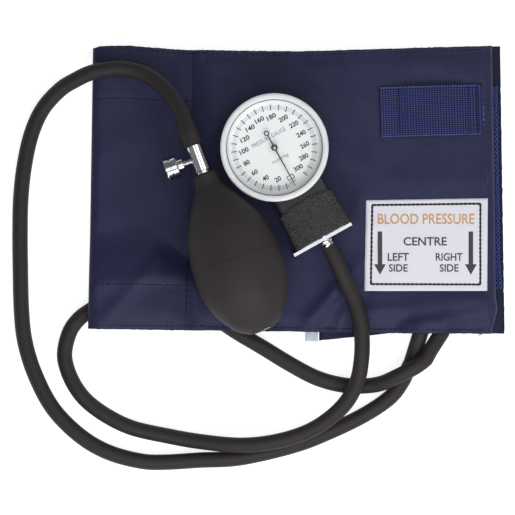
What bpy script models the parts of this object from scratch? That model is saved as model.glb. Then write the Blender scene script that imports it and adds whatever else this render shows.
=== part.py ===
"""Aneroid blood pressure cuff: folded cuff, dial gauge, squeeze bulb, release valve and rubber tubes."""

import math

import bmesh
import bpy
import numpy as np
from mathutils import Matrix, Vector

MM = 0.001  # every dimension below is in millimetres
GAP = 0.3  # clearance between pieces that touch

# cuff: two cloth layers round a left and a right fold, with the bladder between them
CLOTH = 0.6
BLADDER = 2.0
PANEL = 1.2
LEFT_FOLD = (-101.65, 3.45)
RIGHT_FOLD = (96.9, 7.25)
TAIL_END = 105.0
TUCK_END = 11.4
HALF_WIDTH = 72.0
TOP_EDGE = ((-106.0, 73.4), (-83.0, 75.4), (-53.0, 72.8), (0.0, 72.1), (106.0, 75.2))
BOTTOM_EDGE = ((-106.0, -68.6), (47.0, -70.8), (106.0, -71.3))
TAPER = 0.0105 / 70.0
TUCK_SKEW_START = 50.0
TUCK_SKEW = 4.5

# hidden stretch of the gauge tube, and how the cloth rises over it
HIDDEN = ((-112.0, -64.8), (-106.2, -60.3), (-94.7, -53.6), (-79.5, -50.0), (-61.7, -52.6), (-46.5, -59.7),
          (-31.2, -69.9), (-24.0, -74.2))
RISE = 8.45
CREST = 7.0
FOOT = 26.0

# gauge, in its own frame: hub at the origin, nipple towards -Y, heights above the table
HUB = (-11.3, 22.8)
GAUGE_TURN = math.radians(29.0)
NIPPLE_Z = 20.0
CASE_R = 26.0
BEZEL_R = 27.3
CAPSULE_Y = -6.0
NEEDLE_TAIL = 8.2
TEETH = 8
MODULE = 0.4
SECTOR_TEETH = 64
ROCKER_Y = -8.6
ROCKER_Z = 24.4

# bulb and valve, in the bulb's frame: Z from the neck to the tail, X along the release screw
NECK = Vector((-46.8, 9.7, 30.3))
BULB_HEADING = math.radians(-69.8)
BULB_TILT = math.radians(4.5)
BULB_WALL = 2.2
BULB_LENGTH = 84.6
SCREW_S = -8.06
VALVE_TOP = -15.1
BALL_T = 7.1

# tubes
TUBE_R = 4.0
TUBE_Z = 4.05
TUBE_STEP = 12.0
PORT_Z = 9.3
BULB_PORT = (63.1, -70.4, -107.0, -12.0)  # place at the hem, heading and pitch in degrees
GAUGE_PORT = (73.8, -70.6, -123.0, 13.0)
PORT_START = 3.6
PORT_REACH = 7.4

cuffParts = bpy.data.collections.new("blood_pressure_cuff")
cutters = bpy.data.collections.new("cutters")


def clear_scene():
    for obj in list(bpy.data.objects):
        bpy.data.objects.remove(obj, do_unlink=True)
    for collection in (cuffParts, cutters):
        bpy.context.scene.collection.children.link(collection)


def finish(name, color, roughness, metallic=0.0):
    made = bpy.data.materials.new(name)
    made.use_nodes = True
    shader = made.node_tree.nodes["Principled BSDF"]
    shader.inputs["Base Color"].default_value = (*color, 1.0)
    shader.inputs["Roughness"].default_value = roughness
    shader.inputs["Metallic"].default_value = metallic
    return made


def add_object(name, mesh, color=None, frame=None, place=(0, 0, 0), turn=(0, 0, 0), home=cuffParts):
    """Links a new object, placed in millimetres in its frame."""
    made = bpy.data.objects.new(name, mesh)
    home.objects.link(made)
    made.parent = frame
    made.location = Vector(place) * MM
    made.rotation_euler = turn
    if color:
        mesh.materials.append(finish(name, *color))
    return made


def add_frame(name, matrix, parent=None):
    made = bpy.data.objects.new(name, None)
    cuffParts.objects.link(made)
    made.parent = parent
    made.matrix_local = matrix
    return made


def cut(target, cutter, operation="DIFFERENCE"):
    cutter.hide_render = True
    cutter.display_type = "WIRE"
    modifier = target.modifiers.new("cut", "BOOLEAN")
    modifier.object = cutter
    modifier.operation = operation
    modifier.solver = "EXACT"


def smooth(obj):
    obj.data.shade_smooth()
    obj.data.set_sharp_from_angle(angle=math.radians(35))


def turned(name, outline, color=None, steps=24, **where):
    """A turned piece from (radius, height) points that run down its outer side, then up the inner one."""
    mesh = bpy.data.meshes.new(name)
    edges = [(i, i + 1) for i in range(len(outline) - 1)]
    if outline[0][0] > 0:
        edges.append((len(outline) - 1, 0))
    mesh.from_pydata([(r * MM, 0, z * MM) for r, z in outline], edges, [])
    made = add_object(name, mesh, color, **where)
    screw = made.modifiers.new("turn", "SCREW")
    screw.steps = steps
    screw.render_steps = steps
    screw.use_merge_vertices = True
    screw.merge_threshold = 0.00001
    screw.use_smooth_shade = True
    return made


def rod(name, r, low, high, color=None, steps=16, **where):
    return turned(name, [(0, high), (r, high), (r, low), (0, low)], color, steps, **where)


def ring(name, r, hole, low, high, color=None, steps=24, **where):
    return turned(name, [(r, high), (r, low), (hole, low), (hole, high)], color, steps, **where)


def block(name, low, high, color=None, bevel=0.0, **where):
    mesh = bpy.data.meshes.new(name)
    shape = bmesh.new()
    bmesh.ops.create_cube(shape, size=1.0)
    size = [b - a for a, b in zip(low, high)]
    middle = [(a + b) / 2 for a, b in zip(low, high)]
    bmesh.ops.scale(shape, vec=Vector(size) * MM, verts=shape.verts)
    bmesh.ops.translate(shape, vec=Vector(middle) * MM, verts=shape.verts)
    shape.to_mesh(mesh)
    shape.free()
    made = add_object(name, mesh, color, **where)
    if bevel:
        edge = made.modifiers.new("edge", "BEVEL")
        edge.width = bevel * MM
        edge.segments = 2
    return made


def flat_plate(name, outline, low, high, color=None, **where):
    """A flat outline in X and Y, extruded from low to high."""
    mesh = bpy.data.meshes.new(name)
    shape = bmesh.new()
    base = shape.faces.new([shape.verts.new((x * MM, y * MM, low * MM)) for x, y in outline])
    grown = bmesh.ops.extrude_face_region(shape, geom=[base])["geom"]
    top = [g for g in grown if isinstance(g, bmesh.types.BMVert)]
    bmesh.ops.translate(shape, vec=(0, 0, (high - low) * MM), verts=top)
    bmesh.ops.recalc_face_normals(shape, faces=shape.faces)
    shape.to_mesh(mesh)
    shape.free()
    return add_object(name, mesh, color, **where)


def mesh_of(obj):
    """The evaluated mesh of an object, with its loose caps welded."""
    bpy.context.view_layer.update()
    evaluated = obj.evaluated_get(bpy.context.evaluated_depsgraph_get())
    mesh = bpy.data.meshes.new_from_object(evaluated)
    shape = bmesh.new()
    shape.from_mesh(mesh)
    bmesh.ops.remove_doubles(shape, verts=shape.verts, dist=0.000001)
    shape.to_mesh(mesh)
    shape.free()
    return mesh


def smooth_route(points, step):
    """Points every step millimetres along a smooth curve through the route's own points."""
    route = [Vector(p) for p in points]
    ends = [2 * route[0] - route[1], *route, 2 * route[-1] - route[-2]]
    fine = []
    for a, b, c, d in zip(ends, ends[1:], ends[2:], ends[3:]):
        for k in range(20):
            t = k / 20
            square = (2 * a - 5 * b + 4 * c - d) * t**2
            cube = (3 * b - a - 3 * c + d) * t**3
            fine.append(0.5 * (2 * b + (c - a) * t + square + cube))
    fine.append(route[-1])
    run = np.concatenate([[0], np.cumsum([(q - p).length for p, q in zip(fine, fine[1:])])])
    count = max(2, round(run[-1] / step)) + 1
    wanted = np.linspace(0, run[-1], count)
    return [Vector(np.interp(s, run, [p[i] for p in fine]) for i in range(3)) for s in wanted]


def round_tube(name, points, radius, color, resolution=2):
    curve = bpy.data.curves.new(name, "CURVE")
    curve.dimensions = "3D"
    curve.bevel_depth = radius * MM
    curve.bevel_resolution = resolution
    curve.use_fill_caps = True
    line = curve.splines.new("POLY")
    line.points.add(len(points) - 1)
    for point, co in zip(line.points, points):
        point.co = (*(Vector(co) * MM), 1)
    made = add_object(name, curve)
    curve.materials.append(finish(name, *color))
    return made


# ---- cuff ----

NAVY = ((0.030, 0.033, 0.062), 0.62)
LINING = ((0.028, 0.030, 0.052), 0.7)
BLACK_RUBBER = ((0.047, 0.042, 0.044), 0.6)


def hidden_distance(x, y):
    nearest = 1e9
    for a, b in zip(HIDDEN, HIDDEN[1:]):
        along = Vector(b) - Vector(a)
        t = max(0.0, min(1.0, (Vector((x, y)) - Vector(a)).dot(along) / along.length_squared))
        nearest = min(nearest, (Vector((x, y)) - Vector(a) - along * t).length)
    return nearest


def ramp(value, low, high):
    return max(0.0, min(1.0, (value - low) / (high - low)))


def lift(x, y, z):
    """How far the cloth at this height in the stack rises over the hidden tube."""
    fall = ramp(hidden_distance(x, y), CREST, FOOT)
    slack = 0.55 + 3.5 * ramp(x, -60.0, -40.0)
    return max(0.0, RISE * (1 - fall * fall * (3 - 2 * fall)) - slack * ramp(z, 3.0, 3.9))


def settle(x, y, z):
    """Takes a point of the flat, straight stack to where it lies."""
    top = np.interp(x, *zip(*TOP_EDGE))
    bottom = np.interp(x, *zip(*BOTTOM_EDGE))
    y = bottom + (top - bottom) * (y + HALF_WIDTH) / (2 * HALF_WIDTH)
    x = x * (1 - TAPER * y)
    if 1.6 < z < RIGHT_FOLD[1] and x < TUCK_SKEW_START:
        tucked = ramp(x, -10.0, TUCK_END)
        y -= TUCK_SKEW * tucked * (TUCK_SKEW_START - x) / (TUCK_SKEW_START - TUCK_END)
    return x, y, z + lift(x, y, z)


def fold(centre, radius, start, end, count):
    """Points round a fold, from start to end degrees."""
    angles = np.radians(np.linspace(start, end, count))
    return [(centre[0] + radius * math.cos(a), centre[1] + radius * math.sin(a)) for a in angles]


def run(start, end, z_start, z_end=None):
    """Points along a straight run: the ends, and the shared columns between them."""
    z_end = z_start if z_end is None else z_end
    columns = [-94, -87, -80, -73, -66, -60, -52, -44, -36, -28, -20, 0, 50, 96]
    inside = [x for x in columns if min(start, end) + 1 < x < max(start, end) - 1]
    inside.sort(reverse=start > end)
    return [(x, z_start + (z_end - z_start) * (x - start) / (end - start)) for x in (start, *inside, end)]


ROWS = (-72, -66, -60, -54, -48, -40, -30, -10, 30, 72)


def layer(name, section, thickness, color, rows=ROWS):
    """A cloth or rubber sheet: its section in X and Z, swept across the rows, thickened, then settled."""
    shape = bmesh.new()
    points = [section[0]] + [q for p, q in zip(section, section[1:]) if math.dist(p, q) > 0.01]
    line = [shape.verts.new((x, rows[0], z)) for x, z in points]
    edges = [shape.edges.new(pair) for pair in zip(line, line[1:])]
    for low, high in zip(rows, rows[1:]):
        grown = bmesh.ops.extrude_edge_only(shape, edges=edges)["geom"]
        edges = [g for g in grown if isinstance(g, bmesh.types.BMEdge)]
        verts = [g for g in grown if isinstance(g, bmesh.types.BMVert)]
        edges = [e for e in edges if all(v in verts for v in e.verts)]
        bmesh.ops.translate(shape, vec=(0, high - low, 0), verts=verts)
    bmesh.ops.recalc_face_normals(shape, faces=shape.faces)
    sheet = bpy.data.meshes.new(name)
    shape.to_mesh(sheet)
    shape.free()
    plain = add_object(name + "_flat", sheet)
    thick = plain.modifiers.new("thick", "SOLIDIFY")
    thick.thickness = thickness
    thick.offset = 0
    thick.use_even_offset = True
    mesh = mesh_of(plain)
    bpy.data.objects.remove(plain, do_unlink=True)
    for vertex in mesh.vertices:
        vertex.co = Vector(settle(*vertex.co)) * MM
    shape = bmesh.new()
    shape.from_mesh(mesh)
    bmesh.ops.recalc_face_normals(shape, faces=shape.faces)
    shape.to_mesh(mesh)
    shape.free()
    return add_object(name, mesh, color)


def add_cuff():
    ax, az = LEFT_FOLD
    bx, bz = RIGHT_FOLD
    cover = run(TAIL_END, ax, 0.3) + fold(LEFT_FOLD, az - 0.3, -90, -270, 7)
    cover += run(ax, -60, 6.6) + run(-60, -44, 6.6, 10.9) + run(-44, bx, 10.9)
    cover += fold(RIGHT_FOLD, bz - 3.6, 90, -90, 7) + run(bx, TUCK_END, 3.6)
    layer("outer_cover", cover, CLOTH, NAVY)
    lining = run(TAIL_END - 0.4, ax, 1.2) + fold(LEFT_FOLD, az - 1.2, -90, -270, 6)
    lining += run(ax, -60, 5.7) + run(-60, -44, 5.7, 7.7) + run(-44, bx, 7.7)
    lining += fold(RIGHT_FOLD, bz - 6.8, 90, -90, 4) + run(bx, TUCK_END + 0.4, 6.8)
    layer("inner_lining", lining, CLOTH, LINING)
    inside = (-60, -54, -48, -40, -30, -10, 30, 64)
    bladder = run(-36, bx, 9.3) + fold(RIGHT_FOLD, bz - 5.2, 90, -90, 5) + run(bx, 15, 5.2)
    layer("bladder", bladder, BLADDER, BLACK_RUBBER, inside)
    loop = run(-52, ax, 2.4) + fold(LEFT_FOLD, az - 2.4, -90, -270, 5) + run(ax, -61, 4.5)
    layer("loop_panel", loop, PANEL, ((0.045, 0.05, 0.12), 0.9), (-48, -40, -30, -10, 30, 48))
    layer("hook_panel", run(103.2, 22, 2.4), PANEL, ((0.05, 0.06, 0.2), 0.75), (-50, -28, 0, 28, 52))


def add_sewn_pieces():
    strap = [(41.8, 12.1), (51.0, 12.1), (56, 13.7), (82, 13.7), (86.8, 12.1), (93.6, 12.1)]
    line = bmesh.new()
    verts = [line.verts.new((x, 0, z)) for x, z in strap]
    edges = [line.edges.new(pair) for pair in zip(verts, verts[1:])]
    grown = bmesh.ops.extrude_edge_only(line, edges=edges)["geom"]
    bmesh.ops.translate(line, vec=(0, 25.2, 0), verts=[g for g in grown if isinstance(g, bmesh.types.BMVert)])
    bmesh.ops.scale(line, vec=(MM, MM, MM), verts=line.verts)
    mesh = bpy.data.meshes.new("gauge_strap")
    line.to_mesh(mesh)
    line.free()
    loop = add_object("gauge_strap", mesh, ((0.04, 0.045, 0.16), 0.8))
    loop.rotation_euler = (0, 0, math.radians(1.6))
    loop.location = (1.0 * MM, 27.4 * MM, 0)
    thick = loop.modifiers.new("thick", "SOLIDIFY")
    thick.thickness = 1.1 * MM
    thick.offset = 0
    block("cuff_label", (34.9, -49.5, 11.5), (96.6, -3.0, 11.8), ((0.62, 0.64, 0.74), 0.55))
    block("size_tag", (4.5, -75.2, 5.0), (TUCK_END - 0.4, -69.4, 5.4), ((0.5, 0.56, 0.6), 0.7))


def port_direction(port, pitch):
    heading, pitch = math.radians(port[2]), math.radians(pitch)
    return Vector((math.cos(pitch) * math.cos(heading), math.cos(pitch) * math.sin(heading), math.sin(pitch)))


def port_point(port, reach, pitch=None):
    """The point this far out of the hem along the port, which tips by its pitch unless another is given."""
    return Vector((port[0], port[1], PORT_Z)) + reach * port_direction(port, port[3] if pitch is None else pitch)


def port_frame(name, port, pitch):
    """A frame at the hem whose local +Z points out along the port, with local +Y across and +X up."""
    out = port_direction(port, pitch)
    side = Vector((0, 0, 1)).cross(out).normalized()
    axes = Matrix((out.cross(side), side, out)).transposed().to_4x4()
    return add_frame(name, Matrix.Translation(port_point(port, 0) * MM) @ axes)


def add_ports():
    for name, port in (("bladder_port_bulb", BULB_PORT), ("bladder_port_gauge", GAUGE_PORT)):
        barrel_frame = port_frame(name + "_frame", port, port[3])
        barrel = rod(name, TUBE_R, PORT_START, PORT_REACH - GAP, BLACK_RUBBER, frame=barrel_frame)
        level_frame = port_frame(name + "_level", port, 0.0)
        top = PORT_START + 0.9
        tongue = block(name + "_tongue", (-1.0, -4.0, -6.0), (1.0, 4.0, top), frame=level_frame, home=cutters)
        cut(barrel, tongue, "UNION")


# ---- gauge ----

BLACK_PLASTIC = ((0.02, 0.02, 0.021), 0.45)
CHROME = ((0.62, 0.62, 0.62), 0.15, 1.0)
SATIN = ((0.62, 0.64, 0.65), 0.35, 0.6)
BRASS = ((0.55, 0.38, 0.15), 0.35, 1.0)


def gear_outline(teeth, module, start, end, whole):
    """Low trapezoid teeth with backlash: a point list round the gear, angles in radians."""
    pitch_r = teeth * module / 2
    tip = pitch_r + 0.62 * module
    root = pitch_r - 0.95 * module
    step = 2 * math.pi / teeth
    points = []
    count = teeth if whole else round((end - start) / step)
    for k in range(count):
        middle = start + (k + 0.5) * step
        for r, share in ((root, -0.30), (tip, -0.11), (tip, 0.11), (root, 0.30)):
            angle = middle + share * step
            points.append((r * math.cos(angle), r * math.sin(angle)))
    return points


def add_gauge():
    axes = Matrix.Translation(Vector((*HUB, 0)) * MM) @ Matrix.Rotation(GAUGE_TURN, 4, "Z")
    frame = add_frame("gauge_frame", axes)
    add_case(frame)
    add_dial(frame)
    add_movement(frame)
    add_neck(frame)


def add_case(frame):
    cup = [(0, 15.1), (CASE_R - 2.2, 15.1), (CASE_R - 1.2, 16.1), (CASE_R - 1.2, 31.0), (CASE_R, 31.0)]
    cup += [(CASE_R, 15.4), (CASE_R - 1.5, 13.9), (0, 13.9)]
    case = turned("gauge_case", cup, BLACK_PLASTIC, 40, frame=frame)
    side = rod("case_inlet_cutter", 2.1, 22.0, 30.0, frame=frame, place=(0, 0, NIPPLE_Z),
               turn=(math.pi / 2, 0, 0), home=cutters)
    cut(case, side)
    bezel = [(25.6, 35.3), (26.8, 34.6), (BEZEL_R, 33.2), (BEZEL_R, 27.4), (CASE_R + GAP, 27.4)]
    bezel += [(CASE_R + GAP, 34.0), (24.2, 34.0), (24.2, 34.7), (24.7, 35.2)]
    turned("bezel_ring", bezel, SATIN, 40, frame=frame)
    ring("lens_gasket", 25.9, 24.5, 31.3, 31.9, BLACK_RUBBER, 32, frame=frame)
    rod("lens", 25.9, 32.2, 33.6, ((0.9, 0.92, 0.92), 0.05), 36, frame=frame)


def add_dial(frame):
    ring("dial_plate", 24.4, 1.5, 28.4, 28.9, ((0.75, 0.78, 0.79), 0.5), 36, frame=frame)
    arrow = [(0.22, -20.0), (0.35, -1.4), (1.4, -1.1), (1.7, 0), (1.4, 1.1), (0.3, 1.5), (0.3, NEEDLE_TAIL - 1.3)]
    arrow += [(1.0, NEEDLE_TAIL - 1.0), (1.45, NEEDLE_TAIL), (1.0, NEEDLE_TAIL + 1.0), (0, NEEDLE_TAIL + 1.45)]
    outline = arrow + [(-x, y) for x, y in reversed(arrow[:-1])]
    needle = flat_plate("needle", outline, 30.5, 30.8, ((0.01, 0.01, 0.011), 0.4), frame=frame)
    eye = rod("needle_eye", 0.85, 30.0, 31.5, frame=frame, place=(0, NEEDLE_TAIL, 0), steps=12, home=cutters)
    cut(needle, eye)
    bore = rod("needle_bore", 1.1, 30.0, 31.5, frame=frame, steps=12, home=cutters)
    cut(needle, bore)
    hub = [(0, 31.7), (0.8, 31.7), (1.0, 31.5), (1.5, 31.4), (1.5, 31.1), (0.8, 31.1), (0.8, 30.2), (0, 30.2)]
    turned("needle_hub", hub, BRASS, 16, frame=frame)


def add_movement(frame):
    corrugated = [(0, 20.9), (4, 20.9), (5.5, 20.4), (7.5, 20.9), (9.5, 20.4), (11.5, 20.9), (13.5, 20.2)]
    corrugated += [(15.5, 19.6), (15.5, 19.2), (13.5, 18.6), (11.5, 17.9), (9.5, 18.4), (7.5, 17.9), (0, 17.9)]
    centre = (0, CAPSULE_Y, 0)
    turned("capsule", corrugated, BRASS, 28, frame=frame, place=centre)
    turned("capsule_stem", [(0, 17.6), (3.4, 17.6), (4.2, 15.4), (0, 15.4)], BRASS, 16, frame=frame, place=centre)
    rod("push_pin", 0.8, 21.2, 23.7, CHROME, 12, frame=frame, place=centre)
    holes = [(0, 0, 0.85), (-14.4, 0, 0.85)]
    posts = ((14.5, 5.0), (14.5, -5.0))
    for name, low, high, extra in (
        ("movement_plate_lower", 22.2, 23.0, [(0, CAPSULE_Y, 1.2)]),
        ("movement_plate_upper", 26.2, 27.0, [(x, y, 1.05) for x, y in posts]),
    ):
        outline = [(20.5 * math.cos(a), 12.5 * math.sin(a)) for a in np.linspace(0, 2 * math.pi, 25)[:-1]]
        plate = flat_plate(name, outline, low, high, BRASS, frame=frame)
        for k, (x, y, r) in enumerate(holes + extra):
            hole = rod(f"{name}_hole_{k}", r, low - 1, high + 1, frame=frame, place=(x, y, 0), steps=12, home=cutters)
            cut(plate, hole)
    for k, (x, y) in enumerate(posts, 1):
        rod(f"pillar_{k}", 1.5, 23.3, 25.9, BRASS, 12, frame=frame, place=(x, y, 0))
        head = [(0, 27.9), (1.6, 27.9), (1.6, 27.3), (0.75, 27.3), (0.75, 26.2), (0, 26.2)]
        turned(f"plate_screw_{k}", head, CHROME, 12, frame=frame, place=(x, y, 0))
    add_gears(frame)
    shaft = rod("rocker_lever", 0.5, -3.0, 7.0, CHROME, 12, frame=frame, place=(0, ROCKER_Y, ROCKER_Z),
                turn=(0, math.pi / 2, 0))
    arm = block("rocker_arm", (-0.8, 0.0, -0.4), (0.8, 3.4, 0.4), frame=frame, place=(0, ROCKER_Y, ROCKER_Z),
                home=cutters)
    finger = block("rocker_finger", (5.2, -0.3, 0.0), (6.2, 0.3, 1.5), frame=frame, place=(0, ROCKER_Y, ROCKER_Z),
                   home=cutters)
    cut(shaft, arm, "UNION")
    cut(shaft, finger, "UNION")
    coil = []
    for k in range(61):
        angle = k / 60 * 3 * 2 * math.pi
        r = 1.5 + 2.3 * k / 60
        coil.append((r * math.cos(angle), r * math.sin(angle), 25.25))
    spring = round_tube("hairspring", coil, 0.12, BRASS)
    spring.data.bevel_resolution = 0
    spring.parent = frame


def add_gears(frame):
    """Pinion on the pointer's arbor, and the sector that drives it."""
    outline = gear_outline(TEETH, MODULE, 0.0, 0.0, True)
    pinion = flat_plate("pinion_arbor", outline, 23.4, 24.8, CHROME, frame=frame)
    staff = rod("arbor_staff", 0.6, 21.9, 29.9, frame=frame, steps=12, home=cutters)
    cut(pinion, staff, "UNION")
    fine = 2 * math.pi / SECTOR_TEETH
    start = -8.5 * fine
    fan = gear_outline(SECTOR_TEETH, MODULE, start, start + 10 * fine, False)
    fan += [(1.6, 1.2), (-1.6, 1.2), (-3.6, 0.6), (-3.6, -0.6), (-1.6, -1.2), (1.2, -1.6)]
    sector = flat_plate("sector_gear", fan, 23.6, 24.4, BRASS, frame=frame, place=(-14.4, 0, 0))
    pivot = rod("sector_staff", 0.6, 21.9, 27.3, frame=frame, place=(-14.4, 0, 0), steps=12, home=cutters)
    cut(sector, pivot, "UNION")


def add_neck(frame):
    neck = block("gauge_neck", (-13.6, -51.0, 14.6), (13.6, -20.0, 25.6), BLACK_PLASTIC, 1.5, frame=frame)
    round_cut = rod("neck_round_cutter", CASE_R + GAP, 10.0, 40.0, frame=frame, steps=40, home=cutters)
    cut(neck, round_cut)
    bore = rod("neck_bore_cutter", 2.1, 20.0, 60.0, frame=frame, place=(0, 0, NIPPLE_Z),
               turn=(math.pi / 2, 0, 0), home=cutters)
    cut(neck, bore)
    socket = rod("neck_socket_cutter", 2.8, 47.5, 60.0, frame=frame, place=(0, 0, NIPPLE_Z),
                 turn=(math.pi / 2, 0, 0), home=cutters)
    cut(neck, socket)
    sleeve = block("grip_sleeve", (-15.8, -51.1, 13.0), (15.8, -31.0, 27.4), ((0.052, 0.048, 0.05), 0.7), 2.2,
                   frame=frame)
    hollow = block("sleeve_cutter", (-13.9, -60.0, 14.3), (13.9, -20.0, 25.9), frame=frame, home=cutters)
    cut(sleeve, hollow)
    clip = block("gauge_clip", (-17.6, -53.1, 11.6), (15.5, -51.5, 26.0), CHROME, frame=frame)
    tongue = block("clip_tongue", (-12.0, -52.5, 11.6), (12.0, 6.0, 12.5), frame=frame, home=cutters)
    cut(clip, tongue, "UNION")
    eye = rod("clip_eye_cutter", 2.8, 45.0, 60.0, frame=frame, place=(0, 0, NIPPLE_Z),
              turn=(math.pi / 2, 0, 0), home=cutters)
    cut(clip, eye)
    nipple = [(3.45, 56.8), (3.45, 53.4), (2.4, 53.4), (2.4, 48.0), (1.2, 48.0), (1.2, 56.8)]
    turned("gauge_nipple", nipple, CHROME, 20, frame=frame, place=(0, 0, NIPPLE_Z), turn=(math.pi / 2, 0, 0))
    pipe = [(0, -47.6, NIPPLE_Z), (0, -30.0, NIPPLE_Z), (0, -26.0, 19.7), (0, -23.4, 18.6), (0, -21.2, 17.1)]
    pipe += [(0, -18.7, 16.4), (0, -10.6, 16.4)]
    inlet = round_tube("inlet_pipe", pipe, 0.9, BRASS)
    inlet.parent = frame


# ---- bulb and valve ----


def bulb_matrix():
    along = Vector((math.cos(BULB_TILT) * math.cos(BULB_HEADING), math.cos(BULB_TILT) * math.sin(BULB_HEADING),
                    math.sin(BULB_TILT)))
    side = along.cross(Vector((0, 0, 1))).normalized()
    axes = Matrix((side, along.cross(side), along)).transposed().to_4x4()
    return Matrix.Translation(NECK * MM) @ axes


BULB_SIDE = ((0, 6.1), (6.1, 6.9), (10, 9.1), (16, 12.9), (24, 17.5), (31, 20.3), (39.6, 21.9), (46.2, 22.6),
             (53.8, 22.8), (61, 22.1), (66.5, 20.8), (71.6, 18.3), (78.7, 13.6), (82.0, 10.1), (83.4, 7.6))


def add_bulb():
    frame = add_frame("bulb_frame", bulb_matrix())
    outer = [(r, t) for t, r in reversed(BULB_SIDE)]
    inner = [(4.9, 83.4), (4.9, 77.6), (11.0, 77.2)]
    inner += [(r - BULB_WALL, t - 0.3) for t, r in reversed(BULB_SIDE[3:11])]
    inner += [(3.5, 11.0), (3.5, 0)]
    turned("bulb", outer + list(reversed(inner)), BLACK_RUBBER, 32, frame=frame)
    add_valves(frame)
    add_release(frame)


def add_valves(frame):
    body = [(4.0, -1.2), (4.0, VALVE_TOP), (1.2, VALVE_TOP), (1.2, 2.0), (2.6, 2.0), (2.6, 11.5), (3.2, 11.5)]
    body += [(3.2, -1.2)]
    valve = turned("valve_body", list(reversed(body)), CHROME, 24, frame=frame)
    for name, r, far in (("seat_cutter", 0.85, 2.2), ("thread_cutter", 2.05, 5.0)):
        near = 0.0 if name == "seat_cutter" else 1.7
        hole = rod(name, r, near, far, frame=frame, place=(0, 0, SCREW_S), turn=(0, math.pi / 2, 0), home=cutters)
        cut(valve, hole)
    ball = bpy.data.meshes.new("outlet_check_ball")
    shape = bmesh.new()
    bmesh.ops.create_uvsphere(shape, u_segments=12, v_segments=8, radius=1.9 * MM)
    shape.to_mesh(ball)
    shape.free()
    add_object("outlet_check_ball", ball, CHROME, frame=frame, place=(0, 0, BALL_T))
    ring("outlet_seat", 2.3, 1.0, 9.0, 10.2, BRASS, 16, frame=frame)
    coil = []
    for k in range(49):
        angle = k / 48 * 4 * 2 * math.pi
        coil.append((1.6 * math.cos(angle), 1.6 * math.sin(angle), 2.5 + 2.2 * k / 48))
    spring = round_tube("outlet_spring", coil, 0.15, CHROME)
    spring.data.bevel_resolution = 0
    spring.parent = frame
    body = [(5.5, BULB_LENGTH), (5.5, 83.7), (4.6, 83.7), (4.6, 76.5), (3.4, 76.5), (3.4, 81.0), (1.6, 81.0)]
    body += [(1.6, BULB_LENGTH)]
    turned("inlet_valve_body", body, CHROME, 20, frame=frame)
    rod("inlet_check_disc", 2.8, 79.9, 80.7, BLACK_RUBBER, 16, frame=frame)
    ring("inlet_retainer", 3.1, 1.2, 77.0, 78.2, BRASS, 16, frame=frame)


def add_release(frame):
    """The release screw: a spindle in the valve body, and the knurled knob on it."""
    turn = Matrix.Translation((0, 0, SCREW_S * MM)) @ Matrix.Rotation(math.pi / 2, 4, "Y")
    screw = add_frame("release_frame", turn, frame)
    spindle = [(0, 15.0), (1.75, 15.0), (1.75, 2.7), (0.5, 2.7), (0.5, 1.5), (0, 1.5)]
    turned("release_spindle", spindle, CHROME, 16, frame=screw)
    knob = [(0, 17.6), (4.9, 17.6), (5.7, 17.0), (5.7, 14.9), (5.2, 14.7), (5.2, 14.2), (5.7, 14.0), (5.7, 11.5)]
    knob += [(5.2, 10.9), (3.3, 10.9), (3.3, 8.1), (2.05, 8.1), (2.05, 15.3), (0, 15.3)]
    turned("release_knob", knob, CHROME, 24, frame=screw)


# ---- tubes ----


def gauge_point(x, y, z):
    return Vector((*HUB, 0)) + Matrix.Rotation(GAUGE_TURN, 3, "Z") @ Vector((x, y, z))


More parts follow.
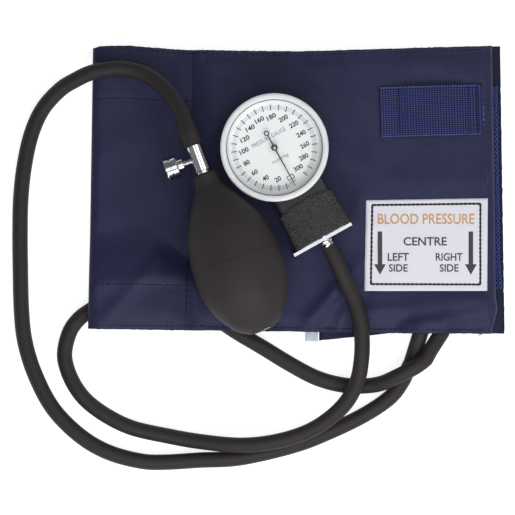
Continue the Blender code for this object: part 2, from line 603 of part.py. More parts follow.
def add_tubes():
    z = TUBE_Z
    route = [gauge_point(0, -57.2, NIPPLE_Z), gauge_point(0, -63.0, NIPPLE_Z)]
    route += [(24.4, -43.6, 17.8), (29.2, -54.3, 16.2), (32.4, -65.0, 15.8), (33.2, -75.7, 15.2), (32.8, -84.6, 14.0)]
    route += [(31.0, -94.4, 13.1), (25.7, -105.1, 12.8), (16.8, -114.0, 12.7), (5.2, -121.1, 12.0)]
    route += [(-10.9, -126.0, 11.3), (-28.7, -127.8, 9.6), (-49.5, -126.0, 5.6), (-66.4, -123.1, z)]
    route += [(-83.2, -119.3, z), (-95.9, -113.4, z), (-106.8, -105.4, z), (-113.5, -96.5, z), (-117.3, -86.9, z)]
    route += [(-117.8, -79.3, z), (-115.2, -70.0, z), (-111.0, -64.1, z), (-106.2, -60.3, z), (-94.7, -53.6, z)]
    route += [(-79.5, -50.0, z), (-61.7, -52.6, z), (-46.5, -59.7, z), (-31.2, -69.9, z), (-17.1, -78.3, z)]
    route += [(-3.8, -86.4, z), (9.6, -93.5, z), (22.1, -97.1, z), (32.8, -97.9, z), (42.6, -96.6, 7.2)]
    route += [(51.5, -92.6, 12.4), (56.2, -90.2, 13.6), (61.2, -87.3, 14.0), (66.0, -83.6, 12.8)]
    route += [port_point(GAUGE_PORT, PORT_REACH + 5), port_point(GAUGE_PORT, PORT_REACH)]
    round_tube("gauge_tube", smooth_route(route, TUBE_STEP), TUBE_R, BLACK_RUBBER)
    route = [port_point(BULB_PORT, PORT_REACH), port_point(BULB_PORT, PORT_REACH + 9), (57.0, -88.6, 4.9)]
    route += [(53.4, -96.3, z), (47.0, -104.2, z), (33.7, -113.0, z), (15.8, -121.6, z), (-2.0, -128.3, z)]
    route += [(-28.7, -134.4, z), (-49.5, -135.6, z), (-66.4, -136.6, z), (-79.0, -136.1, z), (-95.9, -131.5, z)]
    route += [(-110.2, -123.1, z), (-123.7, -109.5, z), (-132.7, -92.7, z), (-138.0, -75.9, z), (-139.9, -59.1, z)]
    route += [(-140.5, -33.8, z), (-140.6, -18.5, z), (-140.2, -2.0, z), (-138.3, 15.0, z), (-134.6, 31.0, z)]
    route += [(-128.8, 43.4, 4.4), (-120.1, 52.8, 6.8), (-112.4, 57.5, 9.8), (-103.3, 61.5, 11.7)]
    route += [(-89.1, 63.5, 12.0), (-76.2, 60.2, 14.2), (-65.7, 52.4, 19.2), (-58.6, 41.9, 25.2)]
    route += [bulb_matrix() @ Vector((0, 0, (VALVE_TOP - reach) * MM)) / MM for reach in (9.0, GAP)]
    round_tube("bulb_tube", smooth_route(route, TUBE_STEP), TUBE_R, BLACK_RUBBER)


def main():
    clear_scene()
    add_cuff()
    add_sewn_pieces()
    add_ports()
    add_gauge()
    add_bulb()
    add_tubes()
    for obj in cuffParts.objects:
        if obj.type == "MESH" and not obj.name.endswith(("cover", "lining", "bladder", "panel", "label")):
            smooth(obj)


main()
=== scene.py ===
import math
import random

import bmesh
import bpy
import numpy as np
from mathutils import Matrix, Vector, noise


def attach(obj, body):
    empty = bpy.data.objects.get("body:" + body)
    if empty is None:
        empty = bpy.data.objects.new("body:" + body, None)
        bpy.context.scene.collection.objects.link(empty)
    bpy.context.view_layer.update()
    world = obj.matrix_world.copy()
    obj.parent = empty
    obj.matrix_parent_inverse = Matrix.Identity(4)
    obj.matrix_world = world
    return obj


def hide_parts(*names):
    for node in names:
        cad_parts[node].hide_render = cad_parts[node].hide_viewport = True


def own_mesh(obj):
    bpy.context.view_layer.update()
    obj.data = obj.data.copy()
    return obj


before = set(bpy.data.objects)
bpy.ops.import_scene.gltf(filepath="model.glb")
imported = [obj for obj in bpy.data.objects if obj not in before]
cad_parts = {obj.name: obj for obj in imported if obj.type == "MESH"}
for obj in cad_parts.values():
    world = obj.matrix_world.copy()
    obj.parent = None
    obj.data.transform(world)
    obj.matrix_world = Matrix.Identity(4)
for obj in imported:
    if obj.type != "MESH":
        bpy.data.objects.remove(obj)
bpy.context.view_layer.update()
mm = 0.001
chance = random.Random(11)
# the line the bulb lies along, in millimetres, and how far down it the parting line runs
bulbLine = {"start": (-46.8, 9.7, 30.3), "along": (0.344243, -0.935603, 0.078459), "seam": 46.4}


# a socket that takes part in ordinary arithmetic
class Wire:
    def __init__(self, finish, socket):
        self.finish = finish
        self.socket = socket

    def math(self, operation, *values):
        made = self.finish.node("Math", {"operation": operation}, dict(enumerate(values)))
        return Wire(self.finish, made.outputs[0])

    def __add__(self, other):
        return self.math("ADD", self, other)

    def __sub__(self, other):
        return self.math("SUBTRACT", self, other)

    def __rsub__(self, other):
        return self.math("SUBTRACT", other, self)

    def __mul__(self, other):
        return self.math("MULTIPLY", self, other)

    def __pow__(self, other):
        return self.math("POWER", self, other)

    __radd__ = __add__
    __rmul__ = __mul__

    def sine(self):
        return self.math("SINE", self)

    def size(self):
        return self.math("ABSOLUTE", self)

    def above(self, limit):
        return self.math("GREATER_THAN", self, limit)


# one material: a Principled shader and the nodes that feed it
class Finish:
    def __init__(self, name, **constants):
        self.material = bpy.data.materials.new(name)
        self.material.use_nodes = True
        self.tree = self.material.node_tree
        self.tree.nodes.clear()
        self.shader = self.node("BsdfPrincipled", {}, constants)
        self.output = self.node("OutputMaterial", {}, {"Surface": self.shader.outputs[0]})

    def node(self, kind, settings, sockets):
        made = self.tree.nodes.new("ShaderNode" + kind)
        for name, value in settings.items():
            if name == "stops":
                ramp = made.color_ramp
                while len(ramp.elements) < len(value):
                    ramp.elements.new(0.5)
                for element, (place, colour) in zip(ramp.elements, value):
                    element.position = place
                    element.color = colour
            else:
                setattr(made, name, value)
        for name, value in sockets.items():
            value = value.socket if isinstance(value, Wire) else value
            if isinstance(value, bpy.types.NodeSocket):
                self.tree.links.new(value, made.inputs[name])
            else:
                made.inputs[name].default_value = value
        return made

    def feed(self, name, value):
        value = value.socket if isinstance(value, Wire) else value
        self.tree.links.new(value, self.shader.inputs[name])

    def place(self, scale=(1, 1, 1), turn=(0, 0, 0)):
        spot = self.node("TexCoord", {}, {}).outputs["Object"]
        return self.node("Mapping", {}, {"Vector": spot, "Scale": scale, "Rotation": turn}).outputs[0]

    def along(self):
        spot = self.node("UVMap", {"uv_map": "lay"}, {}).outputs[0]
        parts = self.node("SeparateXYZ", {}, {0: spot})
        return Wire(self, parts.outputs[0]), Wire(self, parts.outputs[1])

    def clouds(self, scale, detail=3.0, rough=0.5, vector=None):
        sockets = {"Vector": vector or self.place(), "Scale": scale, "Detail": detail}
        return Wire(self, self.node("TexNoise", {}, {**sockets, "Roughness": rough}).outputs[0])

    def cells(self, scale, feature="F1"):
        sockets = {"Vector": self.place(), "Scale": scale}
        return Wire(self, self.node("TexVoronoi", {"feature": feature}, sockets).outputs[0])

    def ramp(self, factor, *stops):
        return self.node("ValToRGB", {"stops": stops}, {0: factor}).outputs[0]

    def mixed(self, factor, first, second):
        return self.node("Mix", {"data_type": "RGBA"}, {0: factor, 6: first, 7: second}).outputs[2]

    def bump(self, height, distance, strength=1.0):
        made = self.node("Bump", {}, {"Height": height, "Distance": distance, "Strength": strength})
        self.feed("Normal", made.outputs[0])


def tint(red, green, blue):
    return (*(((v / 255 + 0.055) / 1.055) ** 2.4 for v in (red, green, blue)), 1)


def scaled(colour, share):
    return (*(min(1.0, v * share) for v in colour[:3]), 1)


def wovenNylon(name, colour, pitch, rough=0.62):
    cloth = Finish(name, **{"Specular IOR Level": 0.17})
    across, along = cloth.along()
    turns = 2 * math.pi / pitch
    weave = (across * turns).sine() * (along * turns).sine()
    drift = cloth.clouds(22.0, 4.0, 0.6)
    warp = cloth.clouds(1250.0, 3.0, 0.7, cloth.place((1, 0.03, 1)))
    weft = cloth.clouds(1250.0, 3.0, 0.7, cloth.place((0.03, 1, 1)))
    tone = warp * 0.4 + weft * 0.4 + drift * 0.2
    base = cloth.ramp(tone, (0.3, scaled(colour, 0.78)), (0.5, colour), (0.7, scaled(colour, 1.3)))
    cloth.feed("Base Color", cloth.mixed(weave * 0.1 + 0.1, base, scaled(colour, 0.7)))
    cloth.feed("Roughness", drift * 0.16 + (rough - 0.08))
    cloth.bump(weave * 0.5 + drift * 6.0 + tone * 4.0, 0.00004, 0.8)
    return cloth.material


def ribbedWeb(name, dark, light, ribPitch, yarnPitch):
    web = Finish(name, **{"Specular IOR Level": 0.2})
    across, along = web.along()
    rib = (across * (math.pi / ribPitch)).sine().size()
    yarn = (along * (2 * math.pi / yarnPitch)).sine() * 0.5 + 0.5
    wear = web.clouds(700.0, 3.0, 0.7)
    mask = rib * yarn * 0.9 + wear * 0.3
    web.feed("Base Color", web.ramp(mask, (0.15, dark), (0.95, light)))
    web.feed("Roughness", wear * 0.2 + 0.55)
    web.bump(rib * 1.4 + yarn * rib * 0.8 + wear * 0.4, 0.00012, 0.9)
    return web.material


def twistedThread(name, colour):
    thread = Finish(name, **{"Specular IOR Level": 0.35})
    grain = thread.clouds(1500.0, 2.0, 0.5, thread.place((1, 0.3, 1), (0, 0, 0.7)))
    thread.feed("Base Color", thread.mixed(grain, scaled(colour, 0.7), scaled(colour, 1.35)))
    thread.feed("Roughness", grain * 0.3 + 0.4)
    thread.bump(grain, 0.0001, 0.8)
    return thread.material


def printedSatin(name, colour):
    satin = Finish(name, **{"Specular IOR Level": 0.45, "Sheen Weight": 0.1})
    across, along = satin.along()
    turns = 2 * math.pi / 0.0006
    weave = (across * turns).sine() * 0.5 + (along * turns * 0.6).sine() * 0.5
    drift = satin.clouds(45.0, 3.0, 0.5)
    satin.feed("Base Color", satin.mixed(drift, scaled(colour, 0.95), scaled(colour, 1.04)))
    satin.feed("Roughness", drift * 0.15 + 0.38)
    satin.bump(weave + drift * 2.0, 0.00003, 0.6)
    return satin.material


def ink(name, colour, wornTo):
    coat = Finish(name, **{"Specular IOR Level": 0.3})
    wear = coat.clouds(1300.0, 3.0, 0.7)
    coat.feed("Base Color", coat.ramp(wear, (0.35, colour), (0.8, wornTo)))
    coat.feed("Roughness", wear * 0.2 + 0.5)
    return coat.material


def mattRubber(name, low, high, dustAmount, grainScale=1400.0, rough=0.62, seam=None):
    rubber = Finish(name, **{"Specular IOR Level": 0.2})
    drift = rubber.clouds(38.0, 5.0, 0.6)
    grain = rubber.clouds(grainScale, 3.0, 0.6)
    dust = rubber.cells(330.0) ** 0.5
    speck = (1.0 - dust).above(0.86) * rubber.clouds(90.0, 2.0).above(0.6) * dustAmount
    body = rubber.mixed(drift, low, high)
    if seam:  # a dark parting line round the bulb
        where = rubber.node("VectorMath", {"operation": "DOT_PRODUCT"},
                            {0: rubber.place(), 1: bulbLine["along"]}).outputs[1]
        start = sum(a * b for a, b in zip(bulbLine["start"], bulbLine["along"])) + seam
        near = Wire(rubber, where) - start * mm + (rubber.clouds(60.0, 2.0) - 0.5) * 0.0005
        fall = 1.0 - near * near * 1.6e7
        line = fall.math("MAXIMUM", fall, 0.0)
        body = rubber.mixed(line * 0.75, body, tint(20, 18, 18))
    rubber.feed("Base Color", rubber.mixed(speck, body, tint(120, 116, 112)))
    rubber.feed("Roughness", drift * 0.22 + grain * 0.08 + (rough - 0.15))
    rubber.bump(grain * 0.6 + drift * 1.6, 0.00006, 0.55)
    return rubber.material


def grainedGrip(name):
    grip = Finish(name, **{"Specular IOR Level": 0.36})
    creases = grip.cells(1150.0, "DISTANCE_TO_EDGE")
    pores = grip.clouds(1400.0, 4.0, 0.75)
    patches = grip.clouds(60.0, 3.0)
    stops = (0.25, tint(28, 25, 26)), (0.62, tint(46, 42, 43)), (1.0, tint(80, 76, 76))
    grip.feed("Base Color", grip.ramp(creases * 2.6 + pores * 0.5, *stops))
    grip.feed("Roughness", patches * 0.12 + pores * 0.2 + 0.4)
    grip.bump(creases * 1.2 + pores * 1.2, 0.00036, 1.0)
    return grip.material


def mouldedPlastic(name, colour, rough=0.42):
    plastic = Finish(name, **{"Specular IOR Level": 0.3})
    grain = plastic.clouds(1200.0, 2.0, 0.6)
    scuff = plastic.clouds(160.0, 5.0, 0.7, plastic.place((1, 0.15, 1), (0, 0, 0.6)))
    plastic.feed("Base Color", plastic.mixed(scuff, scaled(colour, 0.8), scaled(colour, 1.35)))
    plastic.feed("Roughness", scuff * 0.25 + (rough - 0.1))
    plastic.bump(grain * 0.4 + scuff * 0.4, 0.00005, 0.5)
    return plastic.material


def metal(name, colour, rough, streak, metallic=1.0, stretch=(1, 1, 0.05), turn=(0, 0, 0)):
    plate = Finish(name, **{"Metallic": metallic})
    brushed = plate.clouds(1100.0, 4.0, 0.6, plate.place(stretch, turn))
    tarnish = plate.clouds(70.0, 4.0, 0.6)
    plate.feed("Base Color", plate.mixed(tarnish, scaled(colour, 0.88), scaled(colour, 1.06)))
    plate.feed("Roughness", tarnish * rough * 0.6 + brushed * streak + rough * 0.6)
    plate.bump(brushed, 0.00002, streak * 2.0)
    return plate.material


def clearLens(name):
    glass = Finish(name)
    smear = glass.clouds(120.0, 4.0, 0.6)
    clear = glass.node("BsdfTransparent", {}, {"Color": (0.985, 0.99, 0.99, 1)})
    shine = glass.node("BsdfGlossy", {}, {"Color": (1, 1, 1, 1)})
    glass.tree.links.new((smear * 0.05 + 0.02).socket, shine.inputs["Roughness"])
    facing = glass.node("LayerWeight", {}, {"Blend": 0.12})
    share = Wire(glass, facing.outputs["Fresnel"]) * 0.35
    both = glass.node("MixShader", {}, {0: share, 1: clear.outputs[0], 2: shine.outputs[0]})
    glass.tree.links.new(both.outputs[0], glass.output.inputs["Surface"])
    glass.tree.nodes.remove(glass.shader)
    return glass.material


def paperWhite(name, colour, rough):
    card = Finish(name, **{"Specular IOR Level": 0.4})
    drift = card.clouds(90.0, 3.0, 0.5)
    fibre = card.clouds(2500.0, 2.0, 0.6)
    tone = drift * 0.6 + fibre * 0.4
    card.feed("Base Color", card.mixed(tone, scaled(colour, 0.97), scaled(colour, 1.02)))
    card.feed("Roughness", fibre * 0.1 + rough)
    card.bump(fibre, 0.00002, 0.3)
    return card.material


finishes = {
    "cover": wovenNylon("nylonCover", tint(40, 42, 71), 0.0005, 0.5),
    "lining": wovenNylon("nylonLining", tint(32, 34, 58), 0.0005, 0.68),
    "loopPile": ribbedWeb("loopPile", tint(22, 24, 52), tint(52, 56, 98), 0.0008, 0.0008),
    "hookTape": ribbedWeb("hookTape", tint(16, 20, 50), tint(44, 56, 112), 0.0011, 0.0009),
    "webbing": ribbedWeb("webbing", tint(14, 16, 46), tint(68, 73, 134), 0.0014, 0.0011),
    "seam": twistedThread("seamThread", tint(8, 9, 22)),
    "paleThread": twistedThread("paleThread", tint(104, 112, 176)),
    "hookYarn": twistedThread("hookYarn", tint(64, 84, 156)),
    "looseThread": twistedThread("looseThread", tint(30, 32, 58)),
    "labelThread": twistedThread("labelThread", tint(34, 31, 42)),
    "label": printedSatin("labelSatin", tint(216, 216, 225)),
    "tag": printedSatin("tagSatin", tint(186, 198, 206)),
    "titleInk": ink("titleInk", tint(186, 138, 84), tint(208, 172, 128)),
    "darkInk": ink("darkInk", tint(50, 46, 52), tint(82, 77, 82)),
    "dialInk": ink("dialInk", tint(44, 42, 44), tint(72, 70, 72)),
    "dialGrey": ink("dialGrey", tint(128, 130, 134), tint(156, 160, 164)),
    "dialFace": paperWhite("dialFace", tint(240, 242, 243), 0.42),
    "bezel": metal("bezelSatin", tint(224, 226, 228), 0.45, 0.05, 0.2, (1, 1, 1)),
    "hubCap": metal("hubCap", tint(186, 168, 152), 0.4, 0.1, 0.7, (1, 1, 1)),
    "polished": metal("polishedPlate", tint(176, 179, 184), 0.12, 0.12, 1.0),
    "chrome": metal("chromeFittings", tint(232, 234, 236), 0.1, 0.08),
    "knurled": metal("knurledChrome", tint(196, 197, 200), 0.14, 0.1, 1.0, (1, 1, 1)),
    "steel": metal("steelWorks", tint(170, 172, 176), 0.28, 0.15),
    "brass": metal("brassWorks", tint(190, 152, 92), 0.3, 0.12, 1.0, (1, 1, 1)),
    "lens": clearLens("lensClear"),
    "gasket": mattRubber("gasketRubber", tint(34, 33, 34), tint(46, 44, 45), 0.1),
    "case": mouldedPlastic("caseBlack", tint(40, 38, 40)),
    "needle": mouldedPlastic("needleBlack", tint(34, 33, 34), 0.35),
    "grip": grainedGrip("gripRubber"),
    "bulb": mattRubber("bulbRubber", tint(41, 37, 39), tint(53, 48, 50), 1.0, seam=bulbLine["seam"]),
    "tube": mattRubber("tubeRubber", tint(38, 34, 36), tint(49, 45, 46), 0.5, 1800.0, 0.56),
}
print("finishes ready:", len(finishes))


# shapes are in millimetres until finishMesh places them

def ramped(value, low, high):
    return max(0.0, min(1.0, (value - low) / (high - low)))


def smoothstep(value, low, high):
    t = ramped(value, low, high)
    return t * t * (3 - 2 * t)


def walked(points):
    # how far along the line each point lies
    return np.concatenate([[0], np.cumsum(np.linalg.norm(np.diff(points, axis=0), axis=1))])


def resample(points, step):
    points = np.array(points, float)
    run = walked(points)
    wanted = np.linspace(0, run[-1], max(2, round(run[-1] / step) + 1))
    return np.stack([np.interp(wanted, run, column) for column in points.T], axis=1)


def smoothed(points, step):
    # an even walk along the Catmull-Rom curve through the points
    points = [Vector(p) for p in points]
    ends = [2 * points[0] - points[1], *points, 2 * points[-1] - points[-2]]
    fine = []
    for a, b, c, d in zip(ends, ends[1:], ends[2:], ends[3:]):
        for t in (k / 20 for k in range(20)):
            square = (2 * a - 5 * b + 4 * c - d) * t**2
            cube = (3 * b - a - 3 * c + d) * t**3
            fine.append(tuple(0.5 * (2 * b + (c - a) * t + square + cube)))
    fine.append(tuple(points[-1]))
    return resample(fine, step)


def finishMesh(shape, name, finish, body="cuff_set", stands=(), place=None, sharp=38, slot=None):
    # places the mesh, makes the object and lets it ride
    if place is not None:
        bmesh.ops.transform(shape, matrix=place, verts=shape.verts)
    bmesh.ops.scale(shape, vec=(mm, mm, mm), verts=shape.verts)
    mesh = bpy.data.meshes.new(name)
    shape.to_mesh(mesh)
    shape.free()
    mesh.polygons.foreach_set("use_smooth", [True] * len(mesh.polygons))
    mesh.set_sharp_from_angle(angle=math.radians(sharp))
    mesh.materials.append(finishes[finish])
    made = bpy.data.objects.new(name, mesh)
    bpy.context.scene.collection.objects.link(made)
    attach(made, body)
    if stands:
        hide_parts(*stands)
    return made


def spun(profile, steps=96):
    # profile is (radius, height) pairs; a profile that doesn't start and end on the axis is closed
    shape = bmesh.new()
    line = [shape.verts.new((r, 0, h)) for r, h in profile]
    pairs = list(zip(line, line[1:]))
    if profile[0][0] > 0:
        pairs.append((line[-1], line[0]))
    edges = [shape.edges.new(pair) for pair in pairs]
    bmesh.ops.spin(shape, geom=line + edges, axis=(0, 0, 1), cent=(0, 0, 0), steps=steps,
                   angle=2 * math.pi, use_merge=True)
    bmesh.ops.remove_doubles(shape, verts=shape.verts, dist=1e-4)
    bmesh.ops.recalc_face_normals(shape, faces=shape.faces)
    return shape


def drawnOut(shape, edges):
    # draws the edges out into a new row of faces, still in place
    grown = bmesh.ops.extrude_edge_only(shape, edges=edges)["geom"]
    verts = [g for g in grown if isinstance(g, bmesh.types.BMVert)]
    lines = [g for g in grown if isinstance(g, bmesh.types.BMEdge)]
    return verts, [line for line in lines if all(v in verts for v in line.verts)]


def lofted(rings):
    # joins rings of points, each with as many points as the first, into one closed skin
    shape = bmesh.new()
    verts = [shape.verts.new(p) for p in rings[0]]
    edges = [shape.edges.new(pair) for pair in zip(verts, verts[1:] + verts[:1])]
    shape.faces.new(verts)
    for ring in rings[1:]:
        verts, edges = drawnOut(shape, edges)
        for vert, point in zip(verts, ring):
            vert.co = point
    shape.faces.new(verts)
    bmesh.ops.recalc_face_normals(shape, faces=shape.faces)
    return shape


def ringRound(centre, direction, radius, sides):
    direction = direction.normalized()
    side = direction.cross(Vector((0, 0, 1)))
    side = side.normalized() if side.length > 1e-3 else Vector((1, 0, 0))
    lifted = side.cross(direction)
    turns = [2 * math.pi * k / sides for k in range(sides)]
    return [centre + radius * (math.cos(a) * side + math.sin(a) * lifted) for a in turns]


def strand(shape, points, radius, sides):
    # a thin round yarn along the points, added to the shape
    points = [Vector(p) for p in points]
    ways = [b - a for a, b in zip(points[:1] + points, points[1:] + points[-1:])]
    addTo(shape, lofted([ringRound(p, way, radius, sides) for p, way in zip(points, ways)]))


def stitches(shape, points, pitch, length, radius, sink=0.3):
    # short flattened thread lengths laid end to end along a line of points
    walk = resample(points, pitch)
    for a, b in zip(walk, walk[1:]):
        a, b = Vector(a), Vector(b)
        along = (b - a).normalized()
        side = Vector((0, 0, 1)).cross(along).normalized()
        axes = Matrix((along, side, along.cross(side))).transposed().to_4x4()
        size = Matrix.Diagonal((length / 2, radius, radius * 0.8, 1))
        middle = Matrix.Translation((a + b) / 2 + Vector((0, 0, radius * sink)))
        place = middle @ axes @ size
        bmesh.ops.create_uvsphere(shape, u_segments=6, v_segments=5, radius=1, matrix=place)


def lettering(text, width, height, weight=0.0):
    # flat letters as one mesh, fitted to a width and height about the origin
    curve = bpy.data.curves.new(text, "FONT")
    curve.body = text
    curve.resolution_u = 3
    curve.extrude = 0.004
    curve.offset = weight
    sample = bpy.data.objects.new(text, curve)
    bpy.context.scene.collection.objects.link(sample)
    bpy.context.view_layer.update()
    mesh = bpy.data.meshes.new_from_object(sample.evaluated_get(bpy.context.evaluated_depsgraph_get()))
    bpy.data.objects.remove(sample, do_unlink=True)
    shape = bmesh.new()
    shape.from_mesh(mesh)
    bmesh.ops.remove_doubles(shape, verts=shape.verts, dist=1e-5)
    spots = np.array([v.co for v in shape.verts])
    low, high = spots.min(axis=0), spots.max(axis=0)
    bmesh.ops.translate(shape, vec=-Vector((low + high) / 2), verts=shape.verts)
    wide, tall, deep = high - low
    bmesh.ops.scale(shape, vec=(width / wide, height / tall, 0.04 / deep), verts=shape.verts)
    return shape


def addTo(shape, other, matrix=Matrix.Identity(4)):
    # moves another shape into this one, at a place
    bmesh.ops.transform(other, matrix=matrix, verts=other.verts)
    spare = bpy.data.meshes.new("spare")
    other.to_mesh(spare)
    other.free()
    shape.from_mesh(spare)
    bpy.data.meshes.remove(spare)


def plate(outline, low, high):
    # a flat outline given a thickness
    shape = bmesh.new()
    face = shape.faces.new([shape.verts.new((x, y, low)) for x, y in outline])
    grown = bmesh.ops.extrude_face_region(shape, geom=[face])["geom"]
    verts = [g for g in grown if isinstance(g, bmesh.types.BMVert)]
    bmesh.ops.translate(shape, vec=(0, 0, high - low), verts=verts)
    bmesh.ops.recalc_face_normals(shape, faces=shape.faces)
    return shape


def block(shape, wide, tall, low, high, place):
    # a flat bar about a place, added to the shape
    size = Matrix.Translation((0, 0, (low + high) / 2)) @ Matrix.Diagonal((wide, tall, high - low, 1))
    bmesh.ops.create_cube(shape, size=1, matrix=place @ size)


studio = {
    "centre": (-19.8, -32.5), "field": 261.6, "height": 2500.0, "sensor": 36.0, "focusHeight": 8.0,
    "sky": 0.2, "floor": 0.42, "floorGlow": 0.82, "floorLevel": -0.3, "aim": (-0.02, -0.03, 0.0),
    # softboxes: place and size in metres, and power
    "lamps": {"sideLight": ((0.46, 0.3, 0.7), (0.45, 0.45), 1.5),
              "frontLight": ((0.08, -0.46, 0.52), (1.0, 0.35), 4.5),
              "topLight": ((-0.02, -0.03, 1.9), (1.0, 1.0), 5.6)},
}


def makeCamera():
    eye = bpy.data.cameras.new("eye")
    eye.sensor_width = studio["sensor"]
    eye.lens = studio["sensor"] * (studio["height"] - studio["focusHeight"]) / studio["field"]
    eye.clip_end = 20.0
    holder = bpy.data.objects.new("eye", eye)
    holder.location = Vector((*studio["centre"], studio["height"])) * mm
    bpy.context.scene.collection.objects.link(holder)
    bpy.context.scene.camera = holder


def softbox(name, spot, size, power):
    lamp = bpy.data.lights.new(name, "AREA")
    lamp.shape = "RECTANGLE"
    lamp.size, lamp.size_y = size
    lamp.energy = power
    holder = bpy.data.objects.new(name, lamp)
    holder.location = spot
    aim = Vector(studio["aim"]) - Vector(spot)
    holder.rotation_euler = aim.to_track_quat("-Z", "Y").to_euler()
    bpy.context.scene.collection.objects.link(holder)


def makeStudio():
    world = bpy.data.worlds.new("room")
    world.use_nodes = True
    sky = world.node_tree.nodes["Background"]
    sky.inputs[0].default_value = (1, 1, 1, 1)
    sky.inputs[1].default_value = studio["sky"]
    bpy.context.scene.world = world
    bpy.context.scene.view_settings.view_transform = "Standard"
    for name, (spot, size, power) in studio["lamps"].items():
        softbox(name, spot, size, power)
    ground = bmesh.new()
    bmesh.ops.create_grid(ground, x_segments=8, y_segments=8, size=2.5)
    mesh = bpy.data.meshes.new("floor")
    ground.to_mesh(mesh)
    ground.free()
    mesh.transform(Matrix.Translation((0, 0, studio["floorLevel"] * mm)))
    surface = Finish("paleFloor", **{"Specular IOR Level": 0.1, "Roughness": 0.9})
    shade = surface.clouds(3.0, 2.0)
    low, high = ((level,) * 3 + (1,) for level in (studio["floor"], studio["floor"] + 0.02))
    surface.feed("Base Color", surface.mixed(shade, low, high))
    surface.shader.inputs["Emission Color"].default_value = (1, 1, 1, 1)
    surface.shader.inputs["Emission Strength"].default_value = studio["floorGlow"]
    mesh.materials.append(surface.material)
    floor = bpy.data.objects.new("floor", mesh)
    bpy.context.scene.collection.objects.link(floor)


makeCamera()
makeStudio()
print("camera, light and floor ready")


hub = (-11.3, 22.8)
gaugeTurn = 29  # degrees
gaugePlace = Matrix.Translation((*hub, 0)) @ Matrix.Rotation(math.radians(gaugeTurn), 4, "Z")
bulbAlong = Vector(bulbLine["along"])
bulbSide = bulbAlong.cross(Vector((0, 0, 1))).normalized()
bulbAxes = Matrix((bulbSide, bulbAlong.cross(bulbSide), bulbAlong)).transposed().to_4x4()
bulbPlace = Matrix.Translation(bulbLine["start"]) @ bulbAxes
screwDepth = -8.06  # where the screw crosses the valve
screwPlace = bulbPlace @ Matrix.Translation((0, 0, screwDepth)) @ Matrix.Rotation(math.pi / 2, 4, "Y")
nippleHeight = 20.0


tubes = {
    "radius": 4.0, "resting": 4.05, "swell": 0.85, "swellLength": 9.0, "sides": 5, "step": 2.5,
    # bladder ports: place, heading and pitch
    "bulbPort": (63.1, -70.4, -107.0, -12.0), "gaugePort": (73.8, -70.6, -123.0, 13.0),
    "portHeight": 9.3, "portReach": 7.4, "tuckedIn": -1.0,
    # the ways the hoses lie; a point without a height rests on the table
    "gaugeWay": (
        (24.4, -43.6, 17.8), (29.2, -54.3, 16.2), (32.4, -65.0, 15.8), (33.2, -75.7, 15.2),
        (32.8, -84.6, 14.0), (31.0, -94.4, 13.1), (25.7, -105.1, 12.8), (16.8, -114.0, 12.7),
        (5.2, -121.1, 12.0),
        (-10.9, -126.0, 11.3), (-28.7, -127.8, 9.6), (-49.5, -126.0, 5.6), (-66.4, -123.1),
        (-83.2, -119.3), (-95.9, -113.4), (-106.8, -105.4), (-113.5, -96.5), (-117.3, -86.9),
        (-117.8, -79.3), (-115.2, -70.0), (-111.0, -64.1), (-106.2, -60.3), (-94.7, -53.6),
        (-79.5, -50.0), (-61.7, -52.6), (-46.5, -59.7), (-31.2, -69.9), (-17.1, -78.3),
        (-3.8, -86.4), (9.6, -93.5), (22.1, -97.1), (32.8, -97.9), (42.6, -96.6, 7.2),
        (51.5, -92.6, 12.4), (56.2, -90.2, 13.6), (61.2, -87.3, 14.0), (66.0, -83.6, 12.8)),
    "bulbWay": (
        (57.0, -88.6, 4.9), (53.4, -96.3), (47.0, -104.2), (33.7, -113.0), (15.8, -121.6),
        (-2.0, -128.3), (-28.7, -134.4), (-49.5, -135.6), (-66.4, -136.6), (-79.0, -136.1),
        (-95.9, -131.5),
        (-110.2, -123.1), (-123.7, -109.5), (-132.7, -92.7), (-138.0, -75.9), (-139.9, -59.1),
        (-140.5, -33.8), (-140.6, -18.5), (-140.2, -2.0), (-138.3, 15.0), (-134.6, 31.0),
        (-128.8, 43.4, 4.4), (-120.1, 52.8, 6.8), (-112.4, 57.5, 9.8), (-103.3, 61.5, 11.7),
        (-89.1, 63.5, 12.0), (-76.2, 60.2, 14.2), (-65.7, 52.4, 19.2), (-58.6, 41.9, 25.2)),
}


def portPoint(port, reach):
    heading, pitch = math.radians(port[2]), math.radians(port[3])
    out = (math.cos(pitch) * math.cos(heading), math.cos(pitch) * math.sin(heading), math.sin(pitch))
    return Vector((port[0], port[1], tubes["portHeight"])) + reach * Vector(out)


def laidOut(way):
    return [(*p, tubes["resting"]) if len(p) == 2 else p for p in way]


def gaugeRoute():
    start = [gaugePlace @ Vector((0, y, nippleHeight)) for y in (-57.2, -63.0)]
    reaches = (tubes["portReach"] + 5, tubes["tuckedIn"])
    return start + laidOut(tubes["gaugeWay"]) + [portPoint(tubes["gaugePort"], r) for r in reaches]


def bulbRoute():
    reach = tubes["portReach"]
    start = [portPoint(tubes["bulbPort"], r) for r in (tubes["tuckedIn"], reach, reach + 9)]
    end = [bulbPlace @ Vector((0, 0, -15.1 - reach)) for reach in (9.0, 0.3)]
    return start + laidOut(tubes["bulbWay"]) + end


def makePort(name, node, port):
    # the flattened rubber neck that comes out of the bladder between the two cloths
    neck = spun([(0, -9.0), (2.6, -9.0), (3.3, -8.0), (3.3, 5.0), (0, 5.0)], 32)
    bmesh.ops.scale(neck, vec=(0.55, 1.0, 1.0), verts=neck.verts)
    out = (portPoint(port, 1.0) - portPoint(port, 0.0)).normalized()
    side = Vector((0, 0, 1)).cross(out).normalized()
    axes = Matrix((side.cross(out), side, out)).transposed().to_4x4()
    place = Matrix.Translation(portPoint(port, 0)) @ axes
    return finishMesh(neck, name, "tube", stands=[node], place=place, slot="bladder_rubber")


